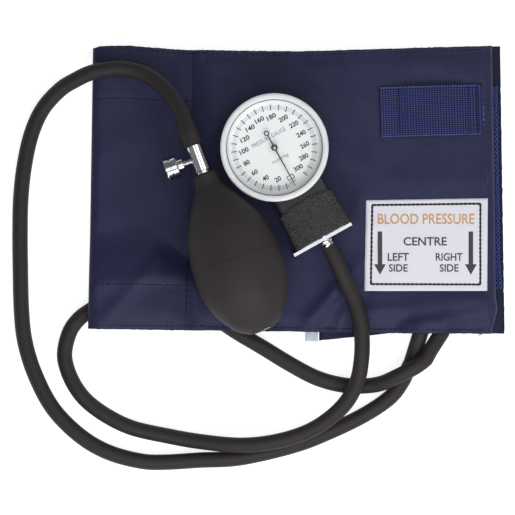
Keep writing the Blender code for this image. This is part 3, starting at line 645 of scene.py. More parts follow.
def makeTube(name, node, route, swellAtEnd):
    points = smoothed(route, tubes["step"])
    curve = bpy.data.curves.new(name, "CURVE")
    curve.dimensions = "3D"
    curve.bevel_depth = tubes["radius"] * mm
    curve.bevel_resolution = tubes["sides"]
    curve.use_fill_caps = True
    spline = curve.splines.new("POLY")
    spline.points.add(len(points) - 1)
    spline.points.foreach_set("co", [v for p in points for v in (*(p * mm), 1.0)])
    for k, point in enumerate(spline.points):
        left = (len(points) - 1 - k) * tubes["step"]
        swell = smoothstep(left, tubes["swellLength"] + 3, tubes["swellLength"]) * swellAtEnd
        point.radius = 1 + swell * tubes["swell"] / tubes["radius"]
    spline.use_smooth = True
    curve.materials.append(finishes["tube"])
    tube = bpy.data.objects.new(name, curve)
    bpy.context.scene.collection.objects.link(tube)
    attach(tube, "cuff_set")
    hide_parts(node)


gaugeNeck = makePort("gaugeHoseNeck", "bladder_port_gauge", tubes["gaugePort"])
bulbNeck = makePort("bulbHoseNeck", "bladder_port_bulb", tubes["bulbPort"])
makeTube("gaugeHose", "gauge_tube", gaugeRoute(), False)
makeTube("bulbHose", "bulb_tube", bulbRoute(), True)


cuff = {
    "halfWidth": 72.0, "leftFold": (-101.65, 3.45), "rightFold": (96.9, 7.25), "clothThickness": 0.6,
    # fold radii at the left and the right, and the loop panel's
    "coverFolds": (3.15, 3.65), "liningFolds": (2.25, 0.45), "loopFold": 1.05,
    "topEdge": ((-106, 73.3), (-101, 74.9), (-87, 75.2), (-72, 74.1), (-57, 72.9), (0, 72.1),
                (106, 75.2)),
    "bottomEdge": ((-106, -68.6), (47, -70.8), (106, -71.3)),
    "rise": ((-60, -44), (6.6, 10.9)),  # the top cloth climbs on to the folded layers here
    "taper": 0.00015, "step": 1.5, "hem": 1.9, "pinch": 1.2, "creaseShare": 1.5, "slack": 0.32,
    "hoseLift": 8.45, "flapDrop": 4.5,
    "upSeam": (-52.2, -3.4), "crossSeams": (48.0, -47.8), "hemDrape": 9.3, "flapDrape": 5.2,
    "cornerCurl": ((-73, -70, -65, -59, -53), (-2.6, -2.2, -0.8, 0.8, 0.0)),
    # the hose under the cloth
    "hidden": ((-112, -64.8), (-106.2, -60.3), (-94.7, -53.6), (-79.5, -50), (-61.7, -52.6),
               (-46.5, -59.7), (-31.2, -69.9), (-24, -74.2)),
    # the cloth is flat under the bulb and the gauge's neck: start, end, flat within, free beyond
    "pressed": (((-49.5, 17.0), (-18.0, -68.0), 15, 27), ((-11.3, 22.8), (14.0, -22.7), 17, 26)),
    # soft creases: start, end, half width, height
    "creases": (
        ((16, -4), (40, -18), 4.5, 0.9), ((24, -20), (33, -2), 3.5, 0.7),
        ((8, -66), (30, -34), 4.0, 1.2), ((0, -69), (20, -50), 3.5, 0.9),
        ((20, -70), (31, -48), 3.0, 0.9), ((34, -60), (96, -54.5), 3.6, 1.3),
        ((56, -68), (99, -59), 3.2, 1.3), ((40, -52.5), (100, -52), 3.0, 0.5),
        ((30, 4), (98, 8), 7.0, 0.6), ((-5, 69), (32, 46), 6.0, 0.7),
        ((28, 70), (40, 24), 6.0, 0.6), ((-60, 66), (-50, -66), 4.0, 0.5),
        ((-100, 20), (-66, 34), 8.0, 0.5), ((-99, -10), (-64, -24), 7.0, 0.5),
        ((-98, -64), (-70, -34), 4.0, 0.9), ((-104, -46), (-62, -41), 4.0, 0.7),
        ((-94, 70), (-62, 54), 6.0, 0.6), ((-46, 70), (-30, 52), 5.0, 0.7),
        ((16, 22), (36, 14), 5.0, 0.7), ((60, 68), (96, 58), 6.0, 0.6), ((96, -30), (99, 40), 3.0, 0.5)),
}


def bell(value, middle, width):
    return math.exp(-(((value - middle) / width) ** 2))


def segmentDistance(x, y, start, end):
    ax, ay = start
    dx, dy = end[0] - ax, end[1] - ay
    t = max(0.0, min(1.0, ((x - ax) * dx + (y - ay) * dy) / (dx * dx + dy * dy)))
    return math.hypot(x - ax - t * dx, y - ay - t * dy)


def clothRise(x, y, z):
    # how far the cloth at this height in the stack rises over the hidden hose
    near = min(segmentDistance(x, y, a, b) for a, b in zip(cuff["hidden"], cuff["hidden"][1:]))
    slack = 0.55 + 3.5 * ramped(x, -60, -40)
    reach = 26 + 12 * ramped(-x, 58, 78)
    lift = cuff["hoseLift"] * (1 - smoothstep(near, 7, reach))
    return max(0.0, lift - slack * ramped(z, 3.0, 3.9))


def settled(x, y, z):
    # fits the cloth to the cuff's outline and lays it over the hose
    top = np.interp(x, *zip(*cuff["topEdge"]))
    bottom = np.interp(x, *zip(*cuff["bottomEdge"]))
    y = bottom + (top - bottom) * (y + cuff["halfWidth"]) / (2 * cuff["halfWidth"])
    x = x * (1 - cuff["taper"] * y)
    if 1.6 < z < cuff["rightFold"][1] and x < 50:  # the inner flap's end lies lower than the hem
        y -= cuff["flapDrop"] * ramped(x, -10.0, 11.4) * (50 - x) / 38.6
    return x, y, z + clothRise(x, y, z)


def wrinkle(x, y):
    # creases and slack of the upper cloth, always outwards, and flat where the bulb and gauge rest
    total = 0.0
    for start, end, width, height in cuff["creases"]:
        near = segmentDistance(x, y, start, end)
        if near < 3 * width:
            total += cuff["creaseShare"] * height * bell(near, 0, width)
    slack = noise.noise(Vector((x / 17, y / 23, 2.0)))
    slack += 0.5 * noise.noise(Vector((x / 8 + y / 19, y / 11, 5.0)))
    total += cuff["slack"] * max(0.0, slack + 0.35)
    for start, end, flat, free in cuff["pressed"]:
        total *= smoothstep(segmentDistance(x, y, start, end), flat, free)
    return total * smoothstep(math.hypot(x - hub[0], y - hub[1]), 20, 30)


def seamLine(y):
    # the upright seam, which leans a little
    top, lean = cuff["upSeam"]
    return top + lean * (cuff["halfWidth"] - y) / (2 * cuff["halfWidth"])


def hemDepth(y):
    return cuff["halfWidth"] - abs(y)


def clothPiece(name, section, rows, move, finish, node, slot, thickness):
    # sweeps a section across the rows, lays it down and gives it thickness
    shape = bmesh.new()
    first = [shape.verts.new((x, rows[0], z)) for x, z in section]
    edges = [shape.edges.new(pair) for pair in zip(first, first[1:])]
    for low, high in zip(rows, rows[1:]):
        verts, edges = drawnOut(shape, edges)
        bmesh.ops.translate(shape, vec=(0, high - low, 0), verts=verts)
    bmesh.ops.recalc_face_normals(shape, faces=shape.faces)
    lay = shape.loops.layers.uv.new("lay")
    run = walked(section)
    where = {(round(x, 4), round(z, 4)): s for (x, z), s in zip(section, run)}
    for face in shape.faces:
        for loop in face.loops:
            x, y, z = loop.vert.co
            loop[lay].uv = (where[(round(x, 4), round(z, 4))] * mm, y * mm)
    for vert in shape.verts:
        vert.co = move(*vert.co)
    made = finishMesh(shape, name, finish, stands=[node], slot=slot, sharp=60)
    thick = made.modifiers.new("thickness", "SOLIDIFY")
    thick.thickness = thickness * mm
    thick.offset = 0
    if rows[-1] - rows[0] > 10:  # the size tag is narrower than this; for wider pieces the width is worked out and not used
        (rows[-1] - rows[0]) * mm


def rounded(centre, radius, start, end):
    turns = np.radians(np.linspace(start, end, 13))
    return [(centre[0] + radius * math.cos(a), centre[1] + radius * math.sin(a)) for a in turns]


def eased(points, step):
    # a section with its corners softened
    line = resample(points, step)
    for _ in range(2):
        line[1:-1] = (line[:-2] + 2 * line[1:-1] + line[2:]) / 4
    return [(round(float(x), 4), round(float(z), 4)) for x, z in line]


def clothRows(low, high, step=1.8):
    edge = [0.0, 0.7, 1.4, 2.1, 2.8, 3.6]
    inner = np.linspace(low + 3.6, high - 3.6, max(2, round((high - low - 7.2) / step) + 1))[1:-1]
    return [low + e for e in edge] + [float(y) for y in inner] + [high - e for e in reversed(edge)]


def pinchedEdge(y, z, towards, amount):
    # the two cloths draw together at the sewn hem
    return z + amount * smoothstep(hemDepth(y), 9.0, 1.0) * (1 if towards > z else -1)


def overPorts(x, y):
    # the hem rides up over the two hose ends
    total = 0.0
    for port in (tubes["bulbPort"], tubes["gaugePort"]):
        total += 4.2 * bell(x, port[0], 6.5) * bell(y, -cuff["halfWidth"], 11.0)
    return total


def puckers(x, y):
    depth = hemDepth(y)
    ripple = noise.noise(Vector((x / 2.6, 3.0 if y > 0 else 7.0, 0.0)))
    ridge = 0.28 * smoothstep(depth, 3.4, 2.0) + 0.22 * ripple * smoothstep(depth, 9.0, 1.0)
    return ridge - 0.18 * bell(depth, cuff["hem"], 0.6)


def moveCover(x, y, z):
    upper = z > 6.4 and x > -101 and x < 97
    flatX, flatY = x, y
    if hemDepth(y) < 0.3:
        y += 0.2 * noise.noise(Vector((x / 1.1, z / 2.0, 9.0)))
    if x > -50 and z > 10.0:
        z = pinchedEdge(y, z, cuff["hemDrape"], cuff["pinch"]) + overPorts(x, y)
    elif x > 11 and 3.0 < z < 5.0:
        z = pinchedEdge(y, z, cuff["flapDrape"], cuff["pinch"] * 0.9)
    x, y, z = settled(x, y, z)
    if flatX > 84 and 3.0 < z:
        x += cornerCurl(flatX, y)
    if upper:
        z += wrinkle(x, y) + puckers(flatX, flatY)
        if -103 < x < -40:
            z -= 0.42 * bell(x, seamLine(flatY), 0.8)
        if x < -52:
            z -= 0.3 * max(bell(y, seam, 0.6) for seam in cuff["crossSeams"])
    elif x > 104:
        x += 0.35 * noise.noise(Vector((y / 3.0, 1.0, 4.0)))
    return x, y, z


def cornerCurl(x, y):
    # the right fold flares and then draws in at its lower corner
    return ramped(x, 84, 100) * np.interp(y, *cuff["cornerCurl"])


def moveLining(x, y, z):
    if x > -50 and z > 7.2:
        z = pinchedEdge(y, z, cuff["hemDrape"], cuff["pinch"] * 0.8) - 0.5 * overPorts(x, y)
    elif x > 11 and 6.2 < z < 7.2:
        z = pinchedEdge(y, z, cuff["flapDrape"], cuff["pinch"] * 0.5)
    return settled(x, y, z)


def makeCover():
    left, right = cuff["leftFold"], cuff["rightFold"]
    (nearX, farX), (low, high) = cuff["rise"]
    tight, wide = cuff["coverFolds"]
    line = [(105.0, 0.3), (left[0], 0.3)] + rounded(left, tight, -90, -270)
    line += [(nearX, low), (farX, high), (right[0], high)] + rounded(right, wide, 90, -90)
    line += [(11.4, 3.6)]
    edge = cuff["halfWidth"]
    clothPiece("cuffCover", eased(line, cuff["step"]), clothRows(-edge, edge), moveCover, "cover",
               "outer_cover", "nylon_cover", cuff["clothThickness"])
    tight, wide = cuff["liningFolds"]
    line = [(104.6, 1.2), (left[0], 1.2)] + rounded(left, tight, -90, -270) + [(nearX, 5.7), (farX, 7.7)]
    line += [(right[0], 7.7)] + rounded(right, wide, 90, -90) + [(11.8, 6.8)]
    clothPiece("cuffLining", eased(line, 2.6), clothRows(-71.8, 71.8, 3.0), moveLining, "lining",
               "inner_lining", "nylon_lining", cuff["clothThickness"])
    line = [(-52, 2.4), (left[0], 2.4)] + rounded(left, cuff["loopFold"], -90, -270) + [(-61, 4.5)]
    clothPiece("loopPanel", eased(line, 2.0), clothRows(-48, 48, 2.4), settled, "loopPile",
               "loop_panel", "loop_pile", 1.2)


def moveHook(x, y, z):
    frayed = 0.18 * noise.noise(Vector((y / 1.3, 0.0, 2.0)))
    x += frayed + 0.9 * smoothstep(y, -34, -50) * ramped(x, 90, 103)
    return settled(x, y, z)


def makeHookTape():
    clothPiece("hookPanel", eased([(102.5, 2.4), (22, 2.4)], 1.4), clothRows(-50, 52, 1.6), moveHook,
               "hookTape", "hook_panel", "hook_tape", 1.2)
    # a row of little loops down the tape's visible edge
    shape = bmesh.new()
    for column, (x, level) in enumerate(((101.0, 4.9), (101.9, 4.7), (102.6, 3.8))):
        points = []
        for k in range(170):
            sway = 0.5 if (k // 2 + column) % 2 else -0.5
            points.append(moveHook(x + sway, -49.4 + k * 0.6, 0.3 * math.sin(k * 1.57) + level))
        strand(shape, points, 0.2, 4)
    finishMesh(shape, "hookLoops", "hookYarn", slot="hook_tape", sharp=80)


makeCover()
makeHookTape()
print("cloth laid")


def coverTop(x, y):
    # height of the upper cloth's surface over a flat place in the cuff
    past = max(0.0, cuff["leftFold"][0] - x)
    radius = cuff["coverFolds"][0]
    z = np.interp(x, *cuff["rise"]) - radius + math.sqrt(radius**2 - past**2)
    spot = moveCover(x, y, float(z))
    return Vector((spot[0], spot[1], spot[2] + cuff["clothThickness"] / 2))


def seamRow(shape, ends, pitch=3.0, length=2.4, radius=0.33):
    (ax, ay), (bx, by) = ends
    count = max(2, round(math.hypot(bx - ax, by - ay) / 1.2))
    spots = [coverTop(ax + (bx - ax) * k / count, ay + (by - ay) * k / count) for k in range(count + 1)]
    stitches(shape, spots, pitch, length, radius)


def makeSeams():
    shape = bmesh.new()
    top, lean = cuff["upSeam"]
    seamRow(shape, ((top - 0.05, 71.5), (top + lean - 0.15, -71.5)), 3.0, 2.5, 0.42)
    for y in cuff["crossSeams"]:
        level = (y - 2.0) * 0.985
        seamRow(shape, ((-104.3, level), (-54.5, level)))
    edge = cuff["halfWidth"] - cuff["hem"]
    for y in (edge, -edge):
        for start, end in ((-100.5, -61), (-59, -46), (-44, 95.5)):
            seamRow(shape, ((start, y), (end, y)), 2.8, 2.2)
    finishMesh(shape, "coverSeams", "seam", slot="nylon_cover", sharp=80)


def makeFrays():
    # short fibres along the cut edges, and a few longer loose ends
    shape = bmesh.new()
    for _ in range(170):
        x = chance.uniform(-100, 95)
        side = chance.choice((-1, -1, 1)) * cuff["halfWidth"]
        root = coverTop(x, side) - Vector((0, 0, 0.3))
        out = Vector((chance.uniform(-0.8, 0.8), math.copysign(1, side), chance.uniform(-0.5, 0.4)))
        reach = chance.uniform(0.2, 0.75)
        middle = root + out * reach * 0.55
        tip = root + out * reach + Vector((chance.uniform(-0.5, 0.5), 0, chance.uniform(-0.3, 0.1)))
        strand(shape, [root, middle, tip], 0.07, 3)
    loose = ((92.6, -70.6, 2.0, 1.1), (94.2, -70.7, -1.4, 1.3))
    for x, y, reach, drop in loose:
        top = coverTop(x, -71.5)
        spots = [(top.x + reach * t, top.y - drop * math.sin(2.0 * t), top.z - 0.3 - 1.2 * t * t)
                 for t in np.linspace(0, 1, 8)]
        strand(shape, spots, 0.16, 4)
    finishMesh(shape, "looseThreads", "looseThread", slot="nylon_cover", sharp=80)


makeSeams()
makeFrays()
print("seams sewn")


strap = {"section": ((41.8, 12.1), (51, 12.1), (56, 13.7), (82, 13.7), (86.8, 12.1), (93.6, 12.1)),
         "width": 25.2, "thickness": 1.1, "turn": 1.6, "shift": (1.0, 27.4), "rib": 1.4,
         "ribHeight": 0.22, "seams": (51.3, 86.4, 90.8)}


def strapLevel(x):
    return float(np.interp(x, *zip(*strap["section"])))


def strapPoint(x, y, z):
    turn = math.radians(strap["turn"])
    spotX = x * math.cos(turn) - y * math.sin(turn) + strap["shift"][0]
    spotY = x * math.sin(turn) + y * math.cos(turn) + strap["shift"][1]
    return spotX, spotY, z + 0.8 * wrinkle(spotX, spotY)


def moveStrap(x, y, z):
    rib = abs(math.sin(math.pi * x / strap["rib"]))
    edge = min(y, strap["width"] - y)
    z += strap["ribHeight"] * (rib - 0.5) - 0.25 * bell(edge, 0, 0.8)
    for seam in strap["seams"]:
        z -= 0.35 * bell(x, seam, 0.7)
    y += 0.12 * math.sin(2 * math.pi * x / strap["rib"]) * (1 if edge < 0.5 else 0)
    return strapPoint(x, y, z)


def makeStrap():
    rows = [float(y) for y in np.linspace(0, strap["width"], 43)]
    clothPiece("gaugeStrap", eased(strap["section"], 0.35), rows, moveStrap, "webbing", "gauge_strap",
               "webbing", strap["thickness"])
    shape = bmesh.new()
    for x in strap["seams"]:
        height = strapLevel(x) + strap["thickness"] / 2 - 0.12
        spots = [strapPoint(x + 0.1 * math.sin(y), y, height) for y in np.linspace(0.8, 24.4, 18)]
        stitches(shape, spots, 2.5, 2.1, 0.28)
    finishMesh(shape, "strapStitches", "seam", slot="webbing", sharp=80)
    shape = bmesh.new()
    for k in range(36):
        x = 42.6 + k * strap["rib"]
        height = strapLevel(x) + 0.45
        for y in (0.25, strap["width"] - 0.25):
            stitches(shape, [strapPoint(x + end, y, height) for end in (-0.35, 0.35)], 0.7, 0.8, 0.34)
    for _ in range(26):
        y = chance.gauss(11, 4)
        root = Vector(strapPoint(93.5, y, 12.1 + chance.uniform(-0.4, 0.4)))
        reaches = ((0.4, 1.6), (-0.9, 0.9), (-0.6, 0.3))
        tip = root + Vector([chance.uniform(*reach) for reach in reaches])
        strand(shape, [root, (root + tip) / 2 + Vector((0, 0, 0.15)), tip], 0.09, 3)
    finishMesh(shape, "strapSelvedge", "paleThread", slot="webbing", sharp=80)


label = {
    "corners": ((34.4, -49.5), (96.7, -49.4), (97.0, -2.4), (35.3, -3.4)), "size": (62, 46.6),
    "frame": ((37.7, -46.0), (93.2, -46.2), (93.3, -5.2), (38.4, -5.9), (37.7, -46.0)),
    "height": 11.62, "thickness": 0.24, "arrows": ((42.3, -30.3), (88.4, -30.3)),
    # text, width, height, weight, place
    "title": ("BLOOD PRESSURE", 49, 5.4, 0.014, (65.7, -12.9)),
    "words": (("CENTRE", 22, 4.4, 0.02, (65.2, -24.3)),
              ("LEFT", 10.8, 4.0, 0.02, (51.6, -32.2)), ("SIDE", 9.6, 3.9, 0.02, (51.6, -37.8)),
              ("RIGHT", 13.6, 4.0, 0.02, (77.4, -32.2)), ("SIDE", 9.6, 3.9, 0.02, (77.4, -37.8))),
}


labelTop = label["height"] + label["thickness"] / 2


def labelPoint(x, y, z):
    return x, y, z + 0.75 * wrinkle(x, y)


def moveLabel(x, y, z):
    corners = [Vector(corner) for corner in label["corners"]]
    s, t = x / label["size"][0], y / label["size"][1]
    spot = corners[0].lerp(corners[1], s).lerp(corners[3].lerp(corners[2], s), t)
    return labelPoint(spot.x, spot.y, z)


def printed(name, finish, pieces):
    # flat shapes laid on the label's face
    shape = bmesh.new()
    for flat, (x, y) in pieces:
        addTo(shape, flat, Matrix.Translation((x, y, labelTop + 0.03)))
    for vert in shape.verts:
        vert.co = labelPoint(*vert.co)
    finishMesh(shape, name, finish, slot="label_cloth")


def arrow():
    outline = [(-1.15, 11), (-1.15, -5.6), (-3.0, -5.6), (0, -11), (3.0, -5.6), (1.15, -5.6), (1.15, 11)]
    return plate(outline, -0.02, 0.02)


def makeLabel():
    wide, tall = label["size"]
    rows = [float(y) for y in np.linspace(0, tall, 36)]
    flat = eased([(0, label["height"]), (wide, label["height"])], 1.4)
    clothPiece("cuffLabel", flat, rows, moveLabel, "label", "cuff_label", "label_cloth",
               label["thickness"])
    *title, place = label["title"]
    printed("labelTitle", "titleInk", [(lettering(*title), place)])
    words = [(lettering(*word), place) for *word, place in label["words"]]
    printed("labelWords", "darkInk", words + [(arrow(), place) for place in label["arrows"]])
    shape = bmesh.new()
    for start, end in zip(label["frame"], label["frame"][1:]):
        line = [Vector(start).lerp(Vector(end), t) for t in np.linspace(0, 1, 30)]
        stitches(shape, [labelPoint(*spot, labelTop) for spot in line], 2.2, 3.6, 0.74, -0.3)
    finishMesh(shape, "labelStitches", "labelThread", slot="label_cloth", sharp=80)


def makeTag():
    rows = [float(y) for y in np.linspace(-75.2, -69.4, 8)]
    flat = eased([(4.5, 5.2), (11.0, 5.2)], 0.7)
    clothPiece("sizeTag", flat, rows, lambda x, y, z: (x, y, z + 0.1 * math.sin(x * 1.3)), "tag",
               "size_tag", "tag_cloth", 0.35)


makeStrap()
makeLabel()
makeTag()
print("strap, label and tag ready")


gauge = {
    "caseRadius": 26.0, "bezelRadius": 27.3, "dialRadius": 24.4, "dialTop": 28.9, "degreesPerUnit": 1.13,
    "tickInner": 18.9, "tickOuter": 21.8, "fineInner": 19.3, "fineOuter": 21.4, "topValue": 300,
    "numberRadius": 15.9, "digitHeight": 2.45, "digitWidth": 1.62,
    "words": (("PRESSURE GAUGE", 19.0, 2.2, 5.9), ("mmHg", 9.0, 2.3, -6.4)),
    # the zero box and its cross marks: place, width, height
    "zeroMarks": ((0, -16.0, 3.6, 0.34), (0, -18.0, 3.6, 0.34), (-1.7, -17.0, 0.34, 2.0),
                  (1.7, -17.0, 0.34, 2.0), (0, -19.3, 3.0, 0.26), (-0.9, -19.3, 0.26, 1.0),
                  (0.9, -19.3, 0.26, 1.0), (0, -21.0, 0.4, 1.6)),
}


def turned(name, finish, slot, profile, steps, node=None, place=gaugePlace, **other):
    # a round piece spun from its profile
    stands = [node] if node else ()
    return finishMesh(spun(profile, steps), name, finish, stands=stands, place=place, slot=slot, **other)


def makeCase():
    r = gauge["caseRadius"]
    cup = [(0, 15.1), (r - 2.2, 15.1), (r - 1.2, 16.1), (r - 1.2, 31.0), (r, 31.0), (r, 16.0),
           (r - 0.5, 14.7), (r - 1.6, 13.9), (0, 13.9)]
    turned("gaugeCase", "case", "case_black", cup, 128, "gauge_case")
    rim = gauge["bezelRadius"]
    bezel = [(24.5, 35.1), (24.8, 35.2), (26.4, 35.26), (26.85, 35.15), (27.15, 34.85), (27.27, 34.4),
             (rim, 33.9), (rim, 27.9), (27.0, 27.4), (26.3, 27.4), (26.3, 34.0), (24.2, 34.0),
             (24.2, 34.6), (24.35, 34.9)]
    turned("bezelRing", "bezel", "bezel_satin", bezel, 160, "bezel_ring", sharp=50)
    lip = [(23.85, 33.9), (24.15, 34.25), (24.15, 33.7), (23.85, 33.65)]
    turned("lensLip", "gasket", "gasket_rubber", lip, 128)
    dome = [(25.9 * math.sin(a), 33.6 + 0.5 * math.cos(a) ** 2) for a in np.linspace(0, math.pi / 2, 14)]
    dome = [(across, 33.62 if across > 23.8 else height) for across, height in dome]
    turned("lens", "lens", "lens_clear", dome + [(25.9, 32.3), (0, 32.3)], 96, "lens", sharp=50)


def onDial(radius, value):
    turn = math.radians(gauge["degreesPerUnit"] * value)
    return Vector((-math.sin(turn) * radius, -math.cos(turn) * radius, 0)), -turn


def tick(shape, inner, outer, width, value, low, high):
    spot, turn = onDial((inner + outer) / 2, value)
    place = Matrix.Translation(spot) @ Matrix.Rotation(turn, 4, "Z")
    block(shape, width, outer - inner, low, high, place)


def makeDial():
    top, rim = gauge["dialTop"], gauge["dialRadius"]
    face = spun([(1.5, top - 0.5), (1.5, top), (rim, top), (rim, top - 0.5)], 96)
    addTo(face, spun([(22.7, top), (24.0, top + 3.4), (24.15, top + 3.4), (24.15, top)], 96))
    finishMesh(face, "dialPlate", "dialFace", stands=["dial_plate"], place=gaugePlace, slot="dial_face")
    dark, grey = bmesh.new(), bmesh.new()
    for value in range(2, gauge["topValue"] + 1, 2):
        if value % 10:
            tick(grey, gauge["fineInner"], gauge["fineOuter"], 0.17, value, top + 0.005, top + 0.03)
        else:
            tick(dark, gauge["tickInner"], gauge["tickOuter"], 0.5, value, top + 0.005, top + 0.04)
    for value in range(20, gauge["topValue"] + 1, 20):
        # the longer numbers draw in where they lie sideways
        lean = abs(math.cos(math.radians(value * gauge["degreesPerUnit"] + 90)))
        spot, _ = onDial(gauge["numberRadius"] - 0.6 * (value >= 100) * lean, value)
        text = str(value)
        number = lettering(text, gauge["digitWidth"] * len(text), gauge["digitHeight"], 0.028)
        addTo(dark, number, Matrix.Translation(spot + Vector((0, 0, top + 0.03))))
    for x, y, wide, tall in gauge["zeroMarks"]:
        block(dark, wide, tall, top + 0.005, top + 0.035, Matrix.Translation((x, y, 0)))
    finishMesh(dark, "dialMarks", "dialInk", place=gaugePlace, slot="dial_face")
    for text, wide, tall, y in gauge["words"]:
        addTo(grey, lettering(text, wide, tall), Matrix.Translation((0, y, top + 0.03)))
    finishMesh(grey, "dialFineMarks", "dialGrey", place=gaugePlace, slot="dial_face")
    hubProfile = [(0, 31.85), (0.6, 31.8), (0.9, 31.6), (0.9, 30.2), (0, 30.2)]
    turned("needleHub", "hubCap", "brass_works", hubProfile, 32, "needle_hub", body="pointer")
    collar = [(0.95, 31.0), (0.95, 31.5), (1.35, 31.5), (1.55, 31.3), (1.55, 30.9)]
    turned("needleCollar", "needle", "needle_black", collar, 40, body="pointer")


grip = {"low": 13.0, "high": 27.4, "back": -51.1, "front": -30.2, "frontBow": 2.2, "halfWidth": 15.95,
        "squareness": 6.5, "edgeRound": 0.384, "around": 72, "steps": 26}


def gripOutline(halfWidth, shrink=0.0):
    # a squared oval across the grip
    power = 2 / grip["squareness"]
    tall, middle = (grip["high"] - grip["low"]) / 2, (grip["low"] + grip["high"]) / 2
    spots = []
    for k in range(grip["around"]):
        turn = 2 * math.pi * k / grip["around"]
        c, s = math.cos(turn), math.sin(turn)
        spots.append((math.copysign(abs(c) ** power, c) * (halfWidth - shrink),
                      math.copysign(abs(s) ** power, s) * (tall - shrink) + middle))
    return spots


def makeGrip():
    # a stretched grained sleeve over the neck, with a curved front edge
    back, front, middle = grip["back"], grip["front"], (grip["low"] + grip["high"]) / 2
    rings = [[(x * 0.9, back + 0.2, middle + (z - middle) * 0.86) for x, z in gripOutline(15.9)]]
    for t in (k / grip["steps"] for k in range(grip["steps"] + 1)):
        half = grip["halfWidth"] - 0.65 * t - 0.15 * math.sin(math.pi * t)
        shrink = grip["edgeRound"] * (bell(t, 0, 0.03) + bell(t, 1, 0.03))
        rings.append([(x, back + (front - grip["frontBow"] * (x / 15.8) ** 2 - back) * t, z)
                      for x, z in gripOutline(half, shrink)])
    inner = [(x * 0.985, front - 0.4 - grip["frontBow"] * (x / 15.8) ** 2, middle + (z - middle) * 0.84)
             for x, z in gripOutline(14.3)]
    shape = lofted(rings + [inner, [(x, y - 6.0, z) for x, y, z in inner]])
    finishMesh(shape, "gripSleeve", "grip", stands=["grip_sleeve"], place=gaugePlace, slot="grip_rubber",
               sharp=55)


def makeNipple():
    profile = [(1.2, 48.0), (2.3, 48.0), (2.3, 53.3), (3.3, 53.35), (3.5, 53.6), (3.45, 54.6),
               (3.2, 54.9), (3.35, 55.3), (3.35, 56.5), (3.15, 56.85), (1.2, 56.85)]
    around = 48
    shape = spun(profile, around)
    for vert in shape.verts:
        x, y, z = vert.co
        if math.hypot(x, y) > 3.0 and z > 54.7:
            flute = 1 - 0.03 * (round(math.atan2(y, x) / (2 * math.pi / around)) % 4 == 0)
            vert.co = (x * flute, y * flute, z)
    place = gaugePlace @ Matrix.Translation((0, 0, nippleHeight)) @ Matrix.Rotation(math.pi / 2, 4, "X")
    finishMesh(shape, "gaugeNipple", "chrome", stands=["gauge_nipple"], place=place,
               slot="chrome_fittings")


makeCase()
makeDial()
makeGrip()
makeNipple()
print("gauge assembled")


bulb = {
    # distance down the bulb, radius
    "side": ((0, 6.1), (6.1, 6.9), (10, 9.1), (16, 12.9), (24, 17.5), (31, 20.3), (39.6, 21.9),
             (46.2, 22.6), (53.8, 22.8), (61, 22.1), (66.5, 20.8), (71.6, 18.3), (78.7, 13.6),
             (82.0, 10.1), (83.4, 7.6)),
    "wall": 2.2, "seamDepth": 0.16,
}
release = {"stemRadius": 1.75, "rootRadius": 1.3, "threadPitch": 0.75, "threadEnd": 8.3,
           "knobRadius": 5.7, "knurlTeeth": 44, "knurlDepth": 0.045}


def makeBulb():
    side = smoothed([(t, r, 0) for t, r in bulb["side"]], 0.7)
    outer = []
    for t, r, _ in side:
        groove = bulb["seamDepth"] * bell(t, bulbLine["seam"], 0.35)
        flash = 0.05 * bell(t, bulbLine["seam"] + 0.9, 0.4)
        outer.append((float(r) - groove + flash, float(t)))
    outer[0] = (outer[0][0] - 0.5, outer[0][1])
    inner = [(5.7, 83.1), (9.2, 80.9), (11.0, 78.4)]
    inner += [(r - bulb["wall"], t - 0.3) for t, r in reversed(bulb["side"][3:11])]
    inner += [(3.4, 11.0), (3.4, 0.0)]
    profile = outer + [(6.6, 84.2), (6.0, 84.5), (5.7, 84.2), (5.7, 83.6)] + inner
    made = turned("bulbBody", "bulb", "bulb_rubber", profile, 128, "bulb", bulbPlace, sharp=50)
    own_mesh(made)


def makeValves():
    body = [(1.2, -15.1), (3.7, -15.1), (4.0, -14.8), (4.0, -1.5), (3.75, -1.2), (3.2, -1.2),
            (3.2, 11.5), (2.6, 11.5), (2.6, 2.0), (1.2, 2.0), (1.2, -4.6), (3.2, -5.0), (3.2, -11.1),
            (1.2, -11.5)]
    turned("valveBody", "chrome", "chrome_fittings", body, 64, "valve_body", bulbPlace)
    body = [(1.6, 84.3), (5.1, 84.3), (5.4, 84.1), (5.4, 83.75), (4.6, 83.7), (4.6, 76.5), (3.4, 76.5),
            (3.4, 81.0), (1.6, 81.0)]
    turned("inletValve", "chrome", "chrome_fittings", body, 48, "inlet_valve_body", bulbPlace)


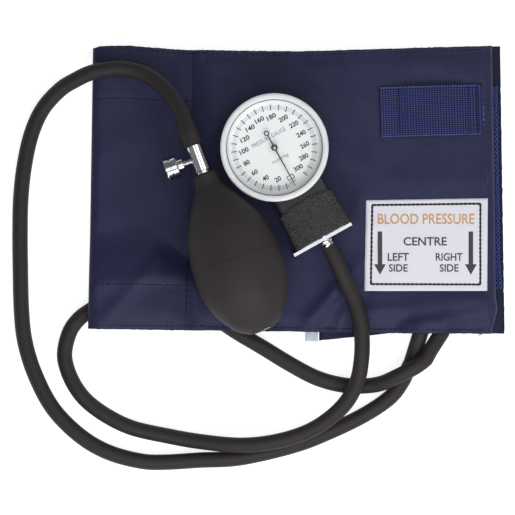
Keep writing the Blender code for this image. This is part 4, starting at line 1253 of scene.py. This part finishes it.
def makeRelease():
    root, stem, knob = release["rootRadius"], release["stemRadius"], release["knobRadius"]
    profile = [(0, 1.5), (0.5, 1.5), (0.5, 2.5), (root, 2.8)]
    height = 3.0
    while height < release["threadEnd"]:
        profile += [(stem, height + 0.1), (stem, height + 0.25)]
        profile += [(root, height + 0.45), (root, height + 0.65)]
        height += release["threadPitch"]
    profile += [(stem, 8.8), (stem, 15.0), (0, 15.0)]
    turned("threadedStem", "knurled", "chrome_fittings", profile, 32, "release_spindle", screwPlace,
           body="release_screw", sharp=30)
    rims = [(0, 17.45), (4.2, 17.45), (4.9, 17.6), (5.45, 17.35)]
    rims += [(knob, h) for h in (17.0, 16.5, 16.0, 15.5, 15.0)] + [(5.0, 14.8), (5.0, 14.15)]
    rims += [(knob, h) for h in (13.95, 13.45, 12.95, 12.45, 11.95, 11.5)]
    rims += [(5.2, 10.9), (3.3, 10.75), (3.3, 8.3), (3.1, 8.1), (2.05, 8.1), (2.05, 15.3), (0, 15.3)]
    teeth = release["knurlTeeth"]
    shape = spun(rims, teeth * 2)
    for vert in shape.verts:
        x, y, z = vert.co
        if math.hypot(x, y) > knob - 0.2:
            tooth = round(math.atan2(y, x) / (math.pi / teeth)) + round(z * 2)
            inset = 1 - release["knurlDepth"] * (tooth % 2)
            vert.co = (x * inset, y * inset, z)
    finishMesh(shape, "releaseKnob", "knurled", body="release_grip", stands=["release_knob"],
               place=screwPlace, slot="chrome_fittings", sharp=20)


makeBulb()
makeValves()
makeRelease()
print("bulb and valves ready")


# the inner pieces that stay take these finishes
keptFinishes = {
    "case": ("gauge_neck",), "gasket": ("lens_gasket", "inlet_check_disc"), "needle": ("needle",),
    "brass": ("capsule", "capsule_stem", "movement_plate_lower", "movement_plate_upper", "pillar_1",
              "pillar_2", "sector_gear", "inlet_pipe", "outlet_seat", "inlet_retainer"),
    "steel": ("push_pin", "plate_screw_1", "plate_screw_2", "pinion_arbor", "rocker_lever", "hairspring",
              "outlet_check_ball", "outlet_spring"),
    "polished": ("gauge_clip",), "tube": ("bladder",),
}
for finish, names in keptFinishes.items():
    for name in names:
        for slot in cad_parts[name].material_slots:
            slot.material = finishes[finish]
print("kept pieces finished")
